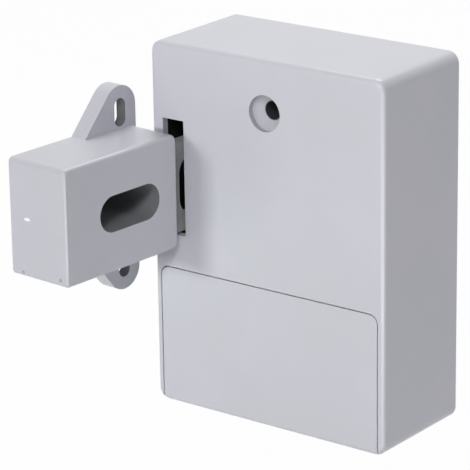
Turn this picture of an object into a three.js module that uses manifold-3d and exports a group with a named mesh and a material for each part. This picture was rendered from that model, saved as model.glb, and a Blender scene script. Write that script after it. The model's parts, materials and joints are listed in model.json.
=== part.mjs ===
// A battery cabinet lock opened by a card, with the keeper that plugs into it.
// Millimetres, +Z up, front towards -Y. The origin is the centre of the flat back face.
// Inside lockBody, x runs from the left side, y from the front face and z from the base.

import * as THREE from 'three';
import { mergeVertices } from 'three/addons/utils/BufferGeometryUtils.js';
import Module from 'manifold-3d';

const wasm = await Module();
wasm.setup();

// Casing
const WALL = 1.75;
const FRONT_WALL = 2;
const REAR_PLATE = 2.3;
const CORNER_RADIUS = 3;
const EDGE_RADIUS = 1.3;
const GAP = 0.3;
const RUNNING_GAP = 0.8;
const BOSS_WALL = 1.5;
const PLATE_CORNER = 1.2;

// Fixing holes
const FIXING_HEAD = 9.3;
const FIXING_HOLE = 5;
const FIXING_RIM = 1.5;
const FIXING_CONE = 2.2;
const FIXING_BELOW_TOP = 13.5;
const LOWER_FIXING_HEIGHT = 13;

// Keeper slot in the front
const SLOT_FROM_SIDE = 3.5;
const SLOT_WIDTH = 6.5;
const SLOT_HEIGHT = 30;
const SLOT_ABOVE_COVER = 9.2;
const TOP_ABOVE_SLOT = 19.5;

// Cells and their contacts
const CELL_LENGTH = 44.5;
const CELL_RADIUS = 5.25;
const CELL_NUB_LENGTH = 0.8;
const CELL_NUB_RADIUS = 1.9;
const CELL_COUNT = 3;
const CELL_PITCH = 11.2;
const CELL_MARGIN = 1;
const CELL_TOP_MARGIN = 0.65;
const CONTACT_THICKNESS = 0.4;
const CONTACT_HEIGHT = 8.6;
const CONTACT_TAB = 3;
const SPRING_LENGTH = 2.8;
const SPRING_WIRE = 0.25;
const SPRING_WIDE = 3.2;
const SPRING_NARROW = 2;
const SPRING_CURLS = 2;

// Battery bay and cover
const COVER_THICKNESS = 1.9;
const SEAM = 0.3;
const COVER_CORNER = 2.3;
const BAY_FLOOR = 1.6;
const HOLDER_WALL = 1.5;
const SERVICE_WIDTH = 9.4;
const RIB_WIDTH = 0.85;
const RIB_DEPTH = 1.2;
const RAIL_WEB = 0.8;
const RAIL_LIP = 1;
const RAIL_TO_HOLDER = 1.2;
const LIP_HEIGHT = 1;
const LIP_WIDTH = 54;
const SHELF = 1.6;

// Bolt, rack and gears
const BOLT_FRONT_GAP = 2.8;
const BOLT_THICKNESS = 6;
const BOLT_HEIGHT = 9;
const BOLT_TRAVEL = 8;
const BOLT_SETBACK = 1.5;
const BOLT_TIP_LENGTH = 1;
const BOLT_ABOVE_SLOT_BASE = 12.4;
const BOLT_CHAMFER = 1.2;
const MODULE = 0.8;
const PINION_TEETH = 10;
const WHEEL_TEETH = 24;
const RACK_TEETH_AHEAD = 3;
const ADDENDUM = 0.64;
const DEDENDUM = 0.9;
const BACKLASH = 0.3;
const PRESSURE_ANGLE = THREE.MathUtils.degToRad(20);
const WHEEL_WIDTH = 3;
const AXLE_RADIUS = 1;
const AXLE_HEAD = 2;
const GUIDE_LENGTH = 5;
const GUIDE_WALL = 2;
const GUIDE_TO_RACK = 2.5;
const BRACKET_THICKNESS = 1.6;
const BRACKET_MARGIN = 3.6;

// Motor
const MOTOR_RADIUS = 7.5;
const MOTOR_LENGTH = 12.1;
const MOTOR_SHAFT = 0.75;
const MOTOR_PINION_END = 0.3;
const SLEEVE_WALL = 1.5;
const SLEEVE_GRIP = 5.7;

// Electronics
const BOARD_THICKNESS = 1.6;
const BOARD_STANDOFF = 4;
const BOARD_HEIGHT = 18.5;
const BOARD_SIDE = 4.5;
const BUTTON_RADIUS = 2;
const BUTTON_FLANGE = 3;
const BUTTON_FLANGE_THICKNESS = 0.6;
const BUTTON_TRAVEL = 0.6;
const BUTTON_PROUD = 1;
const SWITCH_SIZE = 6;
const CONTROL_CHIP_SIZE = 9;
const CONTROL_CHIP_HEIGHT = 1.4;
const CONTROL_CHIP_FROM_LEFT = 30;
const READER_CHIP_SIZE = 6;
const READER_CHIP_HEIGHT = 1;
const READER_CHIP_FROM_LEFT = 20;
const SOCKET_WIDTH = 7;
const SOCKET_DEPTH = 5;
const SOCKET_HEIGHT = 5;
const SOCKET_BESIDE_MOTOR = 3;
const BUZZER_RADIUS = 4.5;
const BUZZER_HEIGHT = 4.5;
const BUZZER_FROM_LEFT = 11;
const CAPACITOR_RADIUS = 2.5;
const CAPACITOR_HEIGHT = 6;
const CAPACITOR_FROM_RIGHT = 6;
const COIL_WIDTH = 44;
const COIL_HEIGHT = 28;
const COIL_BAND = 4;
const COIL_THICKNESS = 1.2;
const LEAD_RADIUS = 0.7;
const LEAD_SPACING = 2.2;
const LEAD_STRAIGHT = 4.2;

// Screws
const SCREW_HEAD = 2.2;
const SCREW_HEAD_HEIGHT = 1.2;
const SCREW_SHANK = 1.1;
const SCREW_LENGTH = 8;
const SCREW_RECESS = 0.5;

// Keeper, measured in its own frame: y grows towards the lock, from the keeper's rear face
const KEEPER_WIDTH = 18.5;
const KEEPER_LENGTH = 39.9;
const KEEPER_HEIGHT = 29.8;
const KEEPER_WALL = 1.7;
const KEEPER_EDGE = 1;
const KEEPER_REAR_CORNER = 2;
const KEEPER_FRONT_CORNER = 1.3;
const KEEPER_STANDOFF = 1.5;
const KEEPER_SIDE_PLAY = 0.67;
const KEEPER_YAW = THREE.MathUtils.degToRad(-4.07);
const WELL_LENGTH = 21.1;
const WELL_HEIGHT = 9.3;
const WELL_FROM_REAR = 6.75;
const WELL_WALL = 1.5;
const WELL_FLOOR = 2;
const WELL_SLOT_LENGTH = 11;
const WELL_SLOT_WIDTH = 4.2;
const EAR_THICKNESS = 4.7;
const EAR_RADIUS = 5.6;
const EAR_RISE = 5.6;
const LOWER_EAR_DROP = 6.7;
const EAR_RUN = 18.2;
const EAR_SLOT_WIDTH = 3.9;
const EAR_SLOT_LENGTH = 7.3;
const EAR_SLOT_BELOW_TIP = 6.9;
const EAR_RECESS_RIM = 0.9;
const EAR_RECESS_END = 1.5;
const EAR_WEB = 3;

// Strike tongue, in the keeper's frame
const TONGUE_THICKNESS = 3;
const TONGUE_HEIGHT = 23.5;
const TONGUE_REACH = 18;
const TONGUE_FORK = 20;
const TONGUE_CORNER = 2;
const FORK_CORNER = 1;
const TONGUE_HOLE_LENGTH = 13;
const TONGUE_HOLE_HEIGHT = 15.2;
const TONGUE_HOLE_CORNER = 4.4;
const LEDGE_THICKNESS = 2.4;
const TONGUE_SCREW_SHANK = 0.9;
const TONGUE_SCREW_LENGTH = 5;

// How far a solid runs past the face that it cuts or joins
const CUT = 1;

// Facets on round forms
const ROUND = 24;
const SMALL_ROUND = 12;
const CORNER_STEPS = 8;
const EDGE_STEPS = 4;
const WIRE_SIDES = 5;
const WIRE_STEPS_PER_CURL = 8;
const LEAD_SIDES = 8;
const LEAD_STEPS = 10;

// Points closer than this are one, so no straight edge is ever shorter
const WELD = 0.001;

// Casing sizes that follow from what it holds, from left to right
const railSpace = RIB_WIDTH + GAP + RAIL_WEB + RAIL_TO_HOLDER;
const holderLeft = WALL + railSpace;
const contactLeft = holderLeft + GAP;
const cellsLeft = contactLeft + CONTACT_THICKNESS + GAP;
const cellsRight = cellsLeft + CELL_LENGTH + SPRING_LENGTH;
const contactRight = cellsRight + GAP;
const holderRight = contactRight + CONTACT_THICKNESS + GAP;
const serviceLeft = holderRight + HOLDER_WALL;
const serviceRight = serviceLeft + SERVICE_WIDTH;
const serviceMiddle = (serviceLeft + serviceRight) / 2;
const bodyWidth = serviceRight + railSpace + WALL;

// From the base up
const cellHeight = (index) => WALL + CELL_MARGIN + CELL_RADIUS + index * CELL_PITCH;
const coverTop = cellHeight(CELL_COUNT - 1) + CELL_RADIUS + CELL_TOP_MARGIN;
const shelfBottom = coverTop + LIP_HEIGHT + GAP;
const shelfTop = shelfBottom + SHELF;
const slotBottom = coverTop + SLOT_ABOVE_COVER;
const slotTop = slotBottom + SLOT_HEIGHT;
const bodyHeight = slotTop + TOP_ABOVE_SLOT;
const boltMiddle = slotBottom + BOLT_ABOVE_SLOT_BASE;
const boltBottom = boltMiddle - BOLT_HEIGHT / 2;
const boltTop = boltMiddle + BOLT_HEIGHT / 2;

// From the front face back
const boltFront = FRONT_WALL + BOLT_FRONT_GAP;
const boltBack = boltFront + BOLT_THICKNESS;
const bracketFront = boltBack + GAP;
const bracketBack = bracketFront + BRACKET_THICKNESS;
const wheelFront = bracketBack + RUNNING_GAP;
const wheelBack = wheelFront + WHEEL_WIDTH;
const motorFront = wheelBack + RUNNING_GAP;
const motorBack = motorFront + MOTOR_LENGTH;
const rearPlateFront = motorBack + GAP;
const bodyDepth = rearPlateFront + REAR_PLATE;
const postEnd = rearPlateFront - GAP;
const ribFront = COVER_THICKNESS + GAP;
const ribBack = ribFront + RIB_DEPTH;
const railBack = ribBack + GAP + RAIL_LIP;
const bayFront = railBack + GAP;
const lipFront = FRONT_WALL + GAP;
const lipBack = lipFront + RAIL_LIP;
const cellMiddle = lipBack + GAP + CELL_RADIUS;
const floorFront = cellMiddle + CELL_RADIUS + GAP;
const floorBack = floorFront + BAY_FLOOR;
const boardFront = floorBack + BOARD_STANDOFF;
const boardBack = boardFront + BOARD_THICKNESS;

// Gear train: the pinion rolls on the bolt's rack and the wheel meets the motor's pinion
const toothPitch = Math.PI * MODULE;
const pinionRadius = PINION_TEETH * MODULE / 2;
const wheelRadius = WHEEL_TEETH * MODULE / 2;
const slotRight = SLOT_FROM_SIDE + SLOT_WIDTH;
const slotMiddle = SLOT_FROM_SIDE + SLOT_WIDTH / 2;
const boltTip = slotRight + BOLT_SETBACK;
const leftGuide = boltTip + BOLT_TIP_LENGTH;
const rackLine = boltTop - ADDENDUM;
const rackTeethRight = RACK_TEETH_AHEAD + Math.ceil(BOLT_TRAVEL / toothPitch);
const gearX = leftGuide + GUIDE_LENGTH + GUIDE_TO_RACK + RACK_TEETH_AHEAD * toothPitch;
const gearZ = rackLine + pinionRadius;
const motorX = gearX + wheelRadius + pinionRadius;
const motorZ = gearZ;
const rightGuide = gearX + rackTeethRight * toothPitch;
const boltEnd = rightGuide + GUIDE_LENGTH + BOLT_TRAVEL;
const gearFront = boltFront + GAP;
const sleeveInner = MOTOR_RADIUS + GAP;
const sleeveOuter = sleeveInner + SLEEVE_WALL;
const pilotRadius = SCREW_SHANK + GAP;
const bossRadius = pilotRadius + BOSS_WALL;
const tubeRadius = FIXING_HOLE / 2 + BOSS_WALL;
const headBossRadius = FIXING_HEAD / 2 + BOSS_WALL;
const fixingX = bodyWidth / 2;
const fixingZ = bodyHeight - FIXING_BELOW_TOP;
const cornerInset = WALL + bossRadius + GAP;

// Materials
const paint = (color, roughness, metalness = 0) =>
  new THREE.MeshStandardMaterial({ color, roughness, metalness });
const greyPlastic = paint(0xc8c9cf, 0.55);
const innerPlastic = paint(0xb4b6bb, 0.6);
const gearPlastic = paint(0xe9e6da, 0.5);
const blackPlastic = paint(0x1d1e20, 0.5);
const connectorPlastic = paint(0xefece2, 0.5);
const steel = paint(0x9fa2a6, 0.35, 1);
const plated = paint(0xc6c8c9, 0.25, 1);
const copper = paint(0xa9582c, 0.4, 1);
const boardGreen = paint(0x1e5a3a, 0.5);
const cellWrap = paint(0x3a5f9a, 0.4);
const redWire = paint(0xb3251e, 0.5);
const blackWire = paint(0x202123, 0.5);

// Solids: closed geometry in, manifold out, and back again
function toSolid(geometry) {
  const bare = new THREE.BufferGeometry();
  bare.setAttribute('position', geometry.getAttribute('position'));
  bare.setIndex(geometry.getIndex());
  const merged = mergeVertices(bare, 1e-4);
  return new wasm.Manifold(new wasm.Mesh({
    numProp: 3,
    vertProperties: new Float32Array(merged.getAttribute('position').array),
    triVerts: new Uint32Array(merged.getIndex().array),
  }));
}

function toGeometry(solid) {
  const mesh = solid.getMesh();
  const geometry = new THREE.BufferGeometry();
  geometry.setAttribute('position', new THREE.BufferAttribute(new Float32Array(mesh.vertProperties), 3));
  geometry.setIndex(new THREE.BufferAttribute(new Uint32Array(mesh.triVerts), 1));
  geometry.computeVertexNormals();
  return geometry;
}

const join = (...solids) => solids.reduce((all, next) => all.add(next));
const cut = (solid, ...tools) => tools.reduce((left, tool) => left.subtract(tool), solid);

function block(x0, x1, y0, y1, z0, z1) {
  const geometry = new THREE.BoxGeometry(x1 - x0, y1 - y0, z1 - z0);
  geometry.translate((x0 + x1) / 2, (y0 + y1) / 2, (z0 + z1) / 2);
  return toSolid(geometry);
}

function cylinderAlongY(radius, x, z, y0, y1, segments = ROUND, endRadius = radius) {
  const geometry = new THREE.CylinderGeometry(endRadius, radius, y1 - y0, segments);
  geometry.translate(x, (y0 + y1) / 2, z);
  return toSolid(geometry);
}

function cylinderAlongX(radius, y, z, x0, x1, segments = ROUND) {
  const geometry = new THREE.CylinderGeometry(radius, radius, x1 - x0, segments);
  geometry.rotateZ(Math.PI / 2);
  geometry.translate((x0 + x1) / 2, y, z);
  return toSolid(geometry);
}

// Flat outlines: drawn as (x, z) and run along y, or drawn as (y, z) and run along x
const alongY = new THREE.Matrix4().makeBasis(
  new THREE.Vector3(1, 0, 0), new THREE.Vector3(0, 0, 1), new THREE.Vector3(0, -1, 0));
const alongX = new THREE.Matrix4().makeBasis(
  new THREE.Vector3(0, 1, 0), new THREE.Vector3(0, 0, 1), new THREE.Vector3(1, 0, 0));

function extrude(shape, depth, bevel = 0, steps = EDGE_STEPS) {
  return new THREE.ExtrudeGeometry(shape, {
    depth: depth - 2 * bevel,
    curveSegments: CORNER_STEPS,
    bevelEnabled: bevel > 0,
    bevelThickness: bevel,
    bevelSize: bevel,
    bevelOffset: -bevel,
    bevelSegments: steps,
  }).translate(0, 0, bevel);
}

function panelAlongY(shape, y0, y1, bevel = 0) {
  const geometry = extrude(shape, y1 - y0, bevel);
  geometry.applyMatrix4(alongY);
  geometry.translate(0, y1, 0);
  return toSolid(geometry);
}

function panelAlongX(shape, x0, x1, bevel = 0) {
  const geometry = extrude(shape, x1 - x0, bevel);
  geometry.applyMatrix4(alongX);
  geometry.translate(x0, 0, 0);
  return toSolid(geometry);
}

// A rectangle whose corners, from the lower left round to the upper left, have their own radii
function roundedRectangle(left, right, low, high, radii) {
  const [a, b, c, d] = Array.isArray(radii) ? radii : [radii, radii, radii, radii];
  const shape = new THREE.Shape();
  shape.moveTo(left + a, low);
  shape.lineTo(right - b, low);
  shape.absarc(right - b, low + b, b, -Math.PI / 2, 0, false);
  shape.lineTo(right, high - c);
  shape.absarc(right - c, high - c, c, 0, Math.PI / 2, false);
  shape.lineTo(left + d, high);
  shape.absarc(left + d, high - d, d, Math.PI / 2, Math.PI, false);
  shape.lineTo(left, low + a);
  shape.absarc(left + a, low + a, a, Math.PI, 1.5 * Math.PI, false);
  return shape;
}

// A slot with full round ends, along the first or the second axis of its drawing
function obround(middleX, middleY, length, width, upright = false) {
  const [halfX, halfY] = upright ? [width / 2, length / 2] : [length / 2, width / 2];
  const radius = width / 2 - WELD;
  return roundedRectangle(
    middleX - halfX, middleX + halfX, middleY - halfY, middleY + halfY, radius);
}

// Teeth with involute flanks, the first one centred on the angle given
function gearShape(teeth, firstTooth) {
  const pitchRadius = teeth * MODULE / 2;
  const baseRadius = pitchRadius * Math.cos(PRESSURE_ANGLE);
  const tipRadius = pitchRadius + ADDENDUM;
  const rootRadius = pitchRadius - DEDENDUM;
  const involute = (angle) => Math.tan(angle) - angle;
  const halfTooth = (toothPitch / 2 - BACKLASH) / 2 / pitchRadius;
  const halfAngleAt = (radius) => {
    const pressure = Math.acos(Math.min(1, baseRadius / radius));
    return halfTooth + involute(PRESSURE_ANGLE) - involute(pressure);
  };
  const flankStart = Math.max(rootRadius, baseRadius);
  const flank = [0, 0.5, 1].map((share) => flankStart + share * (tipRadius - flankStart));
  const points = [];
  for (let tooth = 0; tooth < teeth; tooth += 1) {
    const middle = firstTooth + tooth * 2 * Math.PI / teeth;
    const rootHalf = halfAngleAt(flankStart);
    const rising = [[rootRadius, -rootHalf], ...flank.map((radius) => [radius, -halfAngleAt(radius)])];
    const falling = rising.map(([radius, angle]) => [radius, -angle]).reverse();
    for (const [radius, angle] of [...rising, ...falling]) {
      const last = points[points.length - 1];
      const point = new THREE.Vector2(radius * Math.cos(middle + angle), radius * Math.sin(middle + angle));
      if (!last || last.distanceTo(point) > WELD) points.push(point);
    }
  }
  return new THREE.Shape(points);
}

function gearBlank(teeth, firstTooth, x, z, y0, y1) {
  const geometry = extrude(gearShape(teeth, firstTooth), y1 - y0);
  geometry.applyMatrix4(alongY);
  geometry.translate(x, y1, z);
  return toSolid(geometry);
}

function latheAlongY(profile, x, z) {
  const points = profile.map(([radius, y]) => new THREE.Vector2(radius, y));
  const geometry = new THREE.LatheGeometry(points, SMALL_ROUND);
  geometry.translate(x, 0, z);
  return geometry;
}

// A pan-head screw along y: the head's top is at headY and the shank runs towards the sign given
function screwGeometry(x, z, headY, towards, shank = SCREW_SHANK, length = SCREW_LENGTH) {
  const seat = headY + towards * SCREW_HEAD_HEIGHT;
  const tip = seat + towards * length;
  const dimple = headY + towards * SCREW_RECESS;
  const profile = [[0, dimple], [SCREW_HEAD / 2, headY], [SCREW_HEAD, headY], [SCREW_HEAD, seat],
    [shank, seat], [shank, tip - towards * shank], [0, tip]];
  return latheAlongY(towards > 0 ? profile : profile.reverse(), x, z);
}

function tube(points, radius, sides, steps) {
  const section = new THREE.Shape();
  for (let side = 0; side < sides; side += 1) {
    const angle = side * 2 * Math.PI / sides;
    const point = [radius * Math.cos(angle), radius * Math.sin(angle)];
    if (side === 0) section.moveTo(...point);
    else section.lineTo(...point);
  }
  section.closePath();
  const path = new THREE.CatmullRomCurve3(points.map((point) => new THREE.Vector3(...point)));
  return new THREE.ExtrudeGeometry(section, { steps, bevelEnabled: false, extrudePath: path });
}

// Scene graph
const lock = new THREE.Group();
const lockBody = new THREE.Group();
lockBody.position.set(-bodyWidth / 2, -bodyDepth, -bodyHeight / 2);
lock.add(lockBody);
const keeper = new THREE.Group();
keeper.position.set(slotMiddle, -KEEPER_STANDOFF, boltMiddle);
keeper.rotation.z = KEEPER_YAW;
lockBody.add(keeper);

function place(name, shape, material, group = lockBody) {
  const geometry = shape instanceof THREE.BufferGeometry ? shape : toGeometry(shape);
  const mesh = new THREE.Mesh(geometry, material);
  mesh.name = name;
  group.add(mesh);
}

// The outside of the lock: square at the back, rounded round the front
function casingBlock() {
  const outline = roundedRectangle(0, bodyWidth, 0, bodyHeight, CORNER_RADIUS);
  const solid = panelAlongY(outline, 0, bodyDepth + 2 * EDGE_RADIUS, EDGE_RADIUS);
  return cut(solid, block(
    -CUT, bodyWidth + CUT, bodyDepth, bodyDepth + 3 * EDGE_RADIUS, -CUT, bodyHeight + CUT));
}

const rearScrewPlaces = [
  [cornerInset, cornerInset, floorBack],
  [bodyWidth - cornerInset, cornerInset, floorBack],
  [cornerInset, bodyHeight - cornerInset, FRONT_WALL],
  [bodyWidth - cornerInset, bodyHeight - cornerInset, FRONT_WALL],
];
const bracketScrewPlaces = [
  [leftGuide + bossRadius, gearZ + wheelRadius],
  [motorX + sleeveOuter + bossRadius, gearZ],
  [gearX, boltBottom - GUIDE_WALL - bossRadius],
];
const boardLow = coverTop - BOARD_HEIGHT;
const boardScrewPlaces = [
  [holderLeft + bossRadius + GAP, coverTop - bossRadius],
  [holderRight - bossRadius, boardLow + bossRadius],
];
const buttonZ = coverTop - BOARD_HEIGHT / 2;

// The bay cut from the front: the cover's place, its rail space, the cell bay and the service column
function bayCuts() {
  const coverSpace = roundedRectangle(
    WALL, bodyWidth - WALL, -COVER_CORNER * 2, coverTop + SEAM, COVER_CORNER + SEAM);
  return [
    panelAlongY(coverSpace, -CUT, FRONT_WALL + CUT),
    block(WALL, bodyWidth - WALL, FRONT_WALL, bayFront, -CUT, shelfBottom),
    block(holderLeft, holderRight, bayFront - CUT, floorFront, WALL, shelfBottom),
    block(serviceLeft, serviceRight, bayFront - CUT, floorFront, WALL, shelfBottom),
  ];
}

function coverRibs() {
  const low = WALL + GAP;
  const high = coverTop - COVER_CORNER;
  return [
    block(WALL / 2, WALL + RIB_WIDTH, ribFront, ribBack, low, high),
    block(bodyWidth - WALL - RIB_WIDTH, bodyWidth - WALL / 2, ribFront, ribBack, low, high),
  ];
}

// Two channels, open to the back, that carry the bolt
function boltGuides() {
  const bodies = [leftGuide, rightGuide].map((x) => block(
    x, x + GUIDE_LENGTH, FRONT_WALL / 2, boltBack, boltBottom - GUIDE_WALL, boltTop + GUIDE_WALL));
  const channel = block(
    leftGuide - CUT, boltEnd, boltFront - GAP, boltBack + CUT, boltBottom - GAP, boltTop + GAP);
  return bodies.map((body) => cut(body, channel));
}

function fixingTube(x, z, from, radius) {
  return cylinderAlongY(radius, x, z, from, postEnd);
}

const terminalSlot = (x, z) => block(
  x - GAP, x + CONTACT_THICKNESS + GAP, floorFront - CUT, floorBack + CUT,
  z - CONTACT_TAB / 2 - GAP, z + CONTACT_TAB / 2 + GAP);

function frontHousing() {
  let shell = cut(
    casingBlock(),
    block(WALL, bodyWidth - WALL, FRONT_WALL, bodyDepth + CUT, shelfTop, bodyHeight - WALL),
    block(WALL, bodyWidth - WALL, floorBack, bodyDepth + CUT, WALL, shelfTop + CUT),
    ...bayCuts());
  shell = join(
    shell,
    ...coverRibs(),
    ...boltGuides(),
    ...rearScrewPlaces.map(([x, z, from]) => cylinderAlongY(
      bossRadius, x, z, from - CUT, postEnd, SMALL_ROUND)),
    ...bracketScrewPlaces.map(([x, z]) => cylinderAlongY(
      bossRadius, x, z, FRONT_WALL / 2, boltBack, SMALL_ROUND)),
    ...boardScrewPlaces.map(([x, z]) => cylinderAlongY(
      bossRadius, x, z, floorBack - CUT, boardFront - GAP, SMALL_ROUND)),
    cylinderAlongY(bossRadius, gearX, gearZ, FRONT_WALL / 2, gearFront - GAP, SMALL_ROUND),
    cylinderAlongY(headBossRadius, fixingX, fixingZ, FRONT_WALL / 2, FIXING_RIM + FIXING_CONE + BOSS_WALL),
    fixingTube(fixingX, fixingZ, FRONT_WALL / 2, tubeRadius),
    fixingTube(serviceMiddle, LOWER_FIXING_HEIGHT, floorFront + GAP, tubeRadius));
  const coneEnd = FIXING_RIM + FIXING_CONE;
  return cut(
    shell,
    block(SLOT_FROM_SIDE, slotRight, -CUT, FRONT_WALL + CUT, slotBottom, slotTop),
    cylinderAlongY(FIXING_HEAD / 2, fixingX, fixingZ, -CUT, FIXING_RIM),
    cylinderAlongY(FIXING_HEAD / 2, fixingX, fixingZ, FIXING_RIM, coneEnd, ROUND, FIXING_HOLE / 2),
    cylinderAlongY(FIXING_HOLE / 2, fixingX, fixingZ, -CUT, postEnd + CUT),
    cylinderAlongY(FIXING_HOLE / 2, serviceMiddle, LOWER_FIXING_HEIGHT, floorFront - CUT, postEnd + CUT),
    cylinderAlongY(
      BUTTON_RADIUS + GAP, serviceMiddle, buttonZ, floorFront - CUT, floorBack + CUT, SMALL_ROUND),
    cylinderAlongY(AXLE_RADIUS + GAP, gearX, gearZ, FRONT_WALL, gearFront + CUT, SMALL_ROUND),
    terminalSlot(contactLeft, cellHeight(CELL_COUNT - 1)),
    terminalSlot(contactRight, cellHeight(0)),
    ...rearScrewPlaces.map(([x, z]) => cylinderAlongY(
      pilotRadius, x, z, postEnd - SCREW_LENGTH, postEnd + CUT, SMALL_ROUND)),
    ...bracketScrewPlaces.map(([x, z]) => cylinderAlongY(
      pilotRadius, x, z, FRONT_WALL + GAP, boltBack + CUT, SMALL_ROUND)),
    ...boardScrewPlaces.map(([x, z]) => cylinderAlongY(
      pilotRadius, x, z, floorBack, boardFront + CUT, SMALL_ROUND)));
}

function batteryCover() {
  const left = WALL + SEAM;
  const right = bodyWidth - left;
  const face = roundedRectangle(left, right, -COVER_CORNER * 2, coverTop, COVER_CORNER);
  const skin = casingBlock().intersect(panelAlongY(face, -CUT, COVER_THICKNESS));
  const railLow = WALL;
  const railHigh = coverTop - COVER_CORNER;
  const webLeft = WALL + RIB_WIDTH + GAP;
  const hookFront = ribBack + GAP;
  const webRight = bodyWidth - webLeft;
  const rails = [
    block(webLeft, webLeft + RAIL_WEB, COVER_THICKNESS / 2, railBack, railLow, railHigh),
    block(left, webLeft + RAIL_WEB, hookFront, railBack, railLow, railHigh),
    block(webRight - RAIL_WEB, webRight, COVER_THICKNESS / 2, railBack, railLow, railHigh),
    block(webRight - RAIL_WEB, right, hookFront, railBack, railLow, railHigh),
  ];
  const lipLeft = (bodyWidth - LIP_WIDTH) / 2;
  return join(
    skin,
    ...rails,
    block(webLeft, webRight, COVER_THICKNESS / 2, railBack, GAP, WALL),
    block(lipLeft, lipLeft + LIP_WIDTH, COVER_THICKNESS / 2, lipBack, coverTop - LIP_HEIGHT, coverTop),
    block(lipLeft, lipLeft + LIP_WIDTH, lipFront, lipBack, coverTop - LIP_HEIGHT, coverTop + LIP_HEIGHT));
}

function rearPlate() {
  const inset = WALL + GAP / 2;
  const outline = roundedRectangle(inset, bodyWidth - inset, inset, bodyHeight - inset, PLATE_CORNER);
  const through = (radius, x, z, from, segments) => cylinderAlongY(
    radius, x, z, from, bodyDepth + CUT, segments);
  const headSeat = bodyDepth - SCREW_HEAD_HEIGHT - GAP;
  return cut(
    panelAlongY(outline, rearPlateFront, bodyDepth),
    through(FIXING_HOLE / 2, fixingX, fixingZ, rearPlateFront - CUT, ROUND),
    through(FIXING_HOLE / 2, serviceMiddle, LOWER_FIXING_HEIGHT, rearPlateFront - CUT, ROUND),
    ...rearScrewPlaces.flatMap(([x, z]) => [
      through(pilotRadius, x, z, rearPlateFront - CUT, SMALL_ROUND),
      through(SCREW_HEAD + GAP, x, z, headSeat, SMALL_ROUND),
    ]));
}

// Cells lie across the bay and alternate, so each stands against the plate at its plus end
function addCells() {
  for (let index = 0; index < CELL_COUNT; index += 1) {
    const z = cellHeight(index);
    const plusLeft = index % 2 === 0;
    const left = plusLeft ? cellsLeft : cellsRight - CELL_LENGTH;
    const right = left + CELL_LENGTH;
    const bodyLeft = plusLeft ? left + CELL_NUB_LENGTH : left;
    const bodyRight = plusLeft ? right : right - CELL_NUB_LENGTH;
    const can = cylinderAlongX(CELL_RADIUS, cellMiddle, z, bodyLeft, bodyRight);
    const nub = cylinderAlongX(CELL_NUB_RADIUS, cellMiddle, z, left, right, SMALL_ROUND);
    place(`battery_cell_${index + 1}`, join(can, plusLeft
      ? cut(nub, block(bodyRight, right + CUT, 0, bodyDepth, 0, bodyHeight))
      : cut(nub, block(left - CUT, bodyLeft, 0, bodyDepth, 0, bodyHeight))), cellWrap);
    const springLeft = plusLeft ? right : contactLeft + CONTACT_THICKNESS;
    const springRight = plusLeft ? contactRight : left;
    place(`contact_spring_${index + 1}`, contactSpring(springLeft, springRight, z, plusLeft), plated);
  }
}

// A tapered coil between a cell and its plate, wide end on the plate
function contactSpring(left, right, z, wideRight) {
  const steps = SPRING_CURLS * WIRE_STEPS_PER_CURL;
  const start = left + GAP + SPRING_WIRE;
  const run = right - GAP - SPRING_WIRE - start;
  const points = [];
  for (let step = 0; step <= steps; step += 1) {
    const share = step / steps;
    const angle = 2 * Math.PI * SPRING_CURLS * share;
    const wide = wideRight ? share : 1 - share;
    const radius = SPRING_NARROW + (SPRING_WIDE - SPRING_NARROW) * wide;
    points.push([start + run * share, cellMiddle + radius * Math.cos(angle), z + radius * Math.sin(angle)]);
  }
  let least = Infinity;
  for (let from = 0; from < points.length; from += 1) {
    for (let to = from + WIRE_STEPS_PER_CURL / 2; to < points.length; to += 1) {
      const apart = Math.hypot(...points[from].map((value, axis) => value - points[to][axis]));
      least = Math.min(least, apart - 2 * SPRING_WIRE);
    }
  }
  console.log(`contact spring: least gap to itself ${least.toFixed(2)} mm`);
  return tube(points, SPRING_WIRE, WIRE_SIDES, steps);
}

function contactPlate(x, fromCell, toCell, terminal) {
  const low = cellHeight(fromCell) - CONTACT_HEIGHT / 2;
  const high = cellHeight(toCell) + CONTACT_HEIGHT / 2;
  const plate = block(x, x + CONTACT_THICKNESS, bayFront, floorFront - GAP, low, high);
  if (!terminal) return plate;
  const z = cellHeight(fromCell);
  return join(plate, block(
    x, x + CONTACT_THICKNESS, floorFront - CUT, boardFront - GAP, z - CONTACT_TAB / 2, z + CONTACT_TAB / 2));
}

function lockBolt() {
  const outline = new THREE.Shape();
  outline.moveTo(boltTip + BOLT_CHAMFER, boltBottom);
  outline.lineTo(boltEnd, boltBottom);
  outline.lineTo(boltEnd, boltTop);
  for (let tooth = rackTeethRight; tooth >= -RACK_TEETH_AHEAD; tooth -= 1) {
    const space = gearX + tooth * toothPitch;
    const halfAtLine = (toothPitch / 2 + BACKLASH) / 2;
    const halfAtTop = halfAtLine + ADDENDUM * Math.tan(PRESSURE_ANGLE);
    const halfAtRoot = halfAtLine - DEDENDUM * Math.tan(PRESSURE_ANGLE);
    outline.lineTo(space + halfAtTop, boltTop);
    outline.lineTo(space + halfAtRoot, rackLine - DEDENDUM);
    outline.lineTo(space - halfAtRoot, rackLine - DEDENDUM);
    outline.lineTo(space - halfAtTop, boltTop);
  }
  outline.lineTo(boltTip + BOLT_CHAMFER, boltTop);
  outline.lineTo(boltTip, boltTop - BOLT_CHAMFER);
  outline.lineTo(boltTip, boltBottom + BOLT_CHAMFER);
  outline.closePath();
  return panelAlongY(outline, boltFront, boltBack);
}

function driveGear() {
  const bore = cylinderAlongY(AXLE_RADIUS + GAP, gearX, gearZ, 0, bodyDepth, SMALL_ROUND);
  const pinion = gearBlank(PINION_TEETH, -Math.PI / 2, gearX, gearZ, gearFront, wheelFront + CUT);
  const wheel = gearBlank(WHEEL_TEETH, 0, gearX, gearZ, wheelFront, wheelBack);
  return cut(join(pinion, wheel), bore);
}

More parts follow.
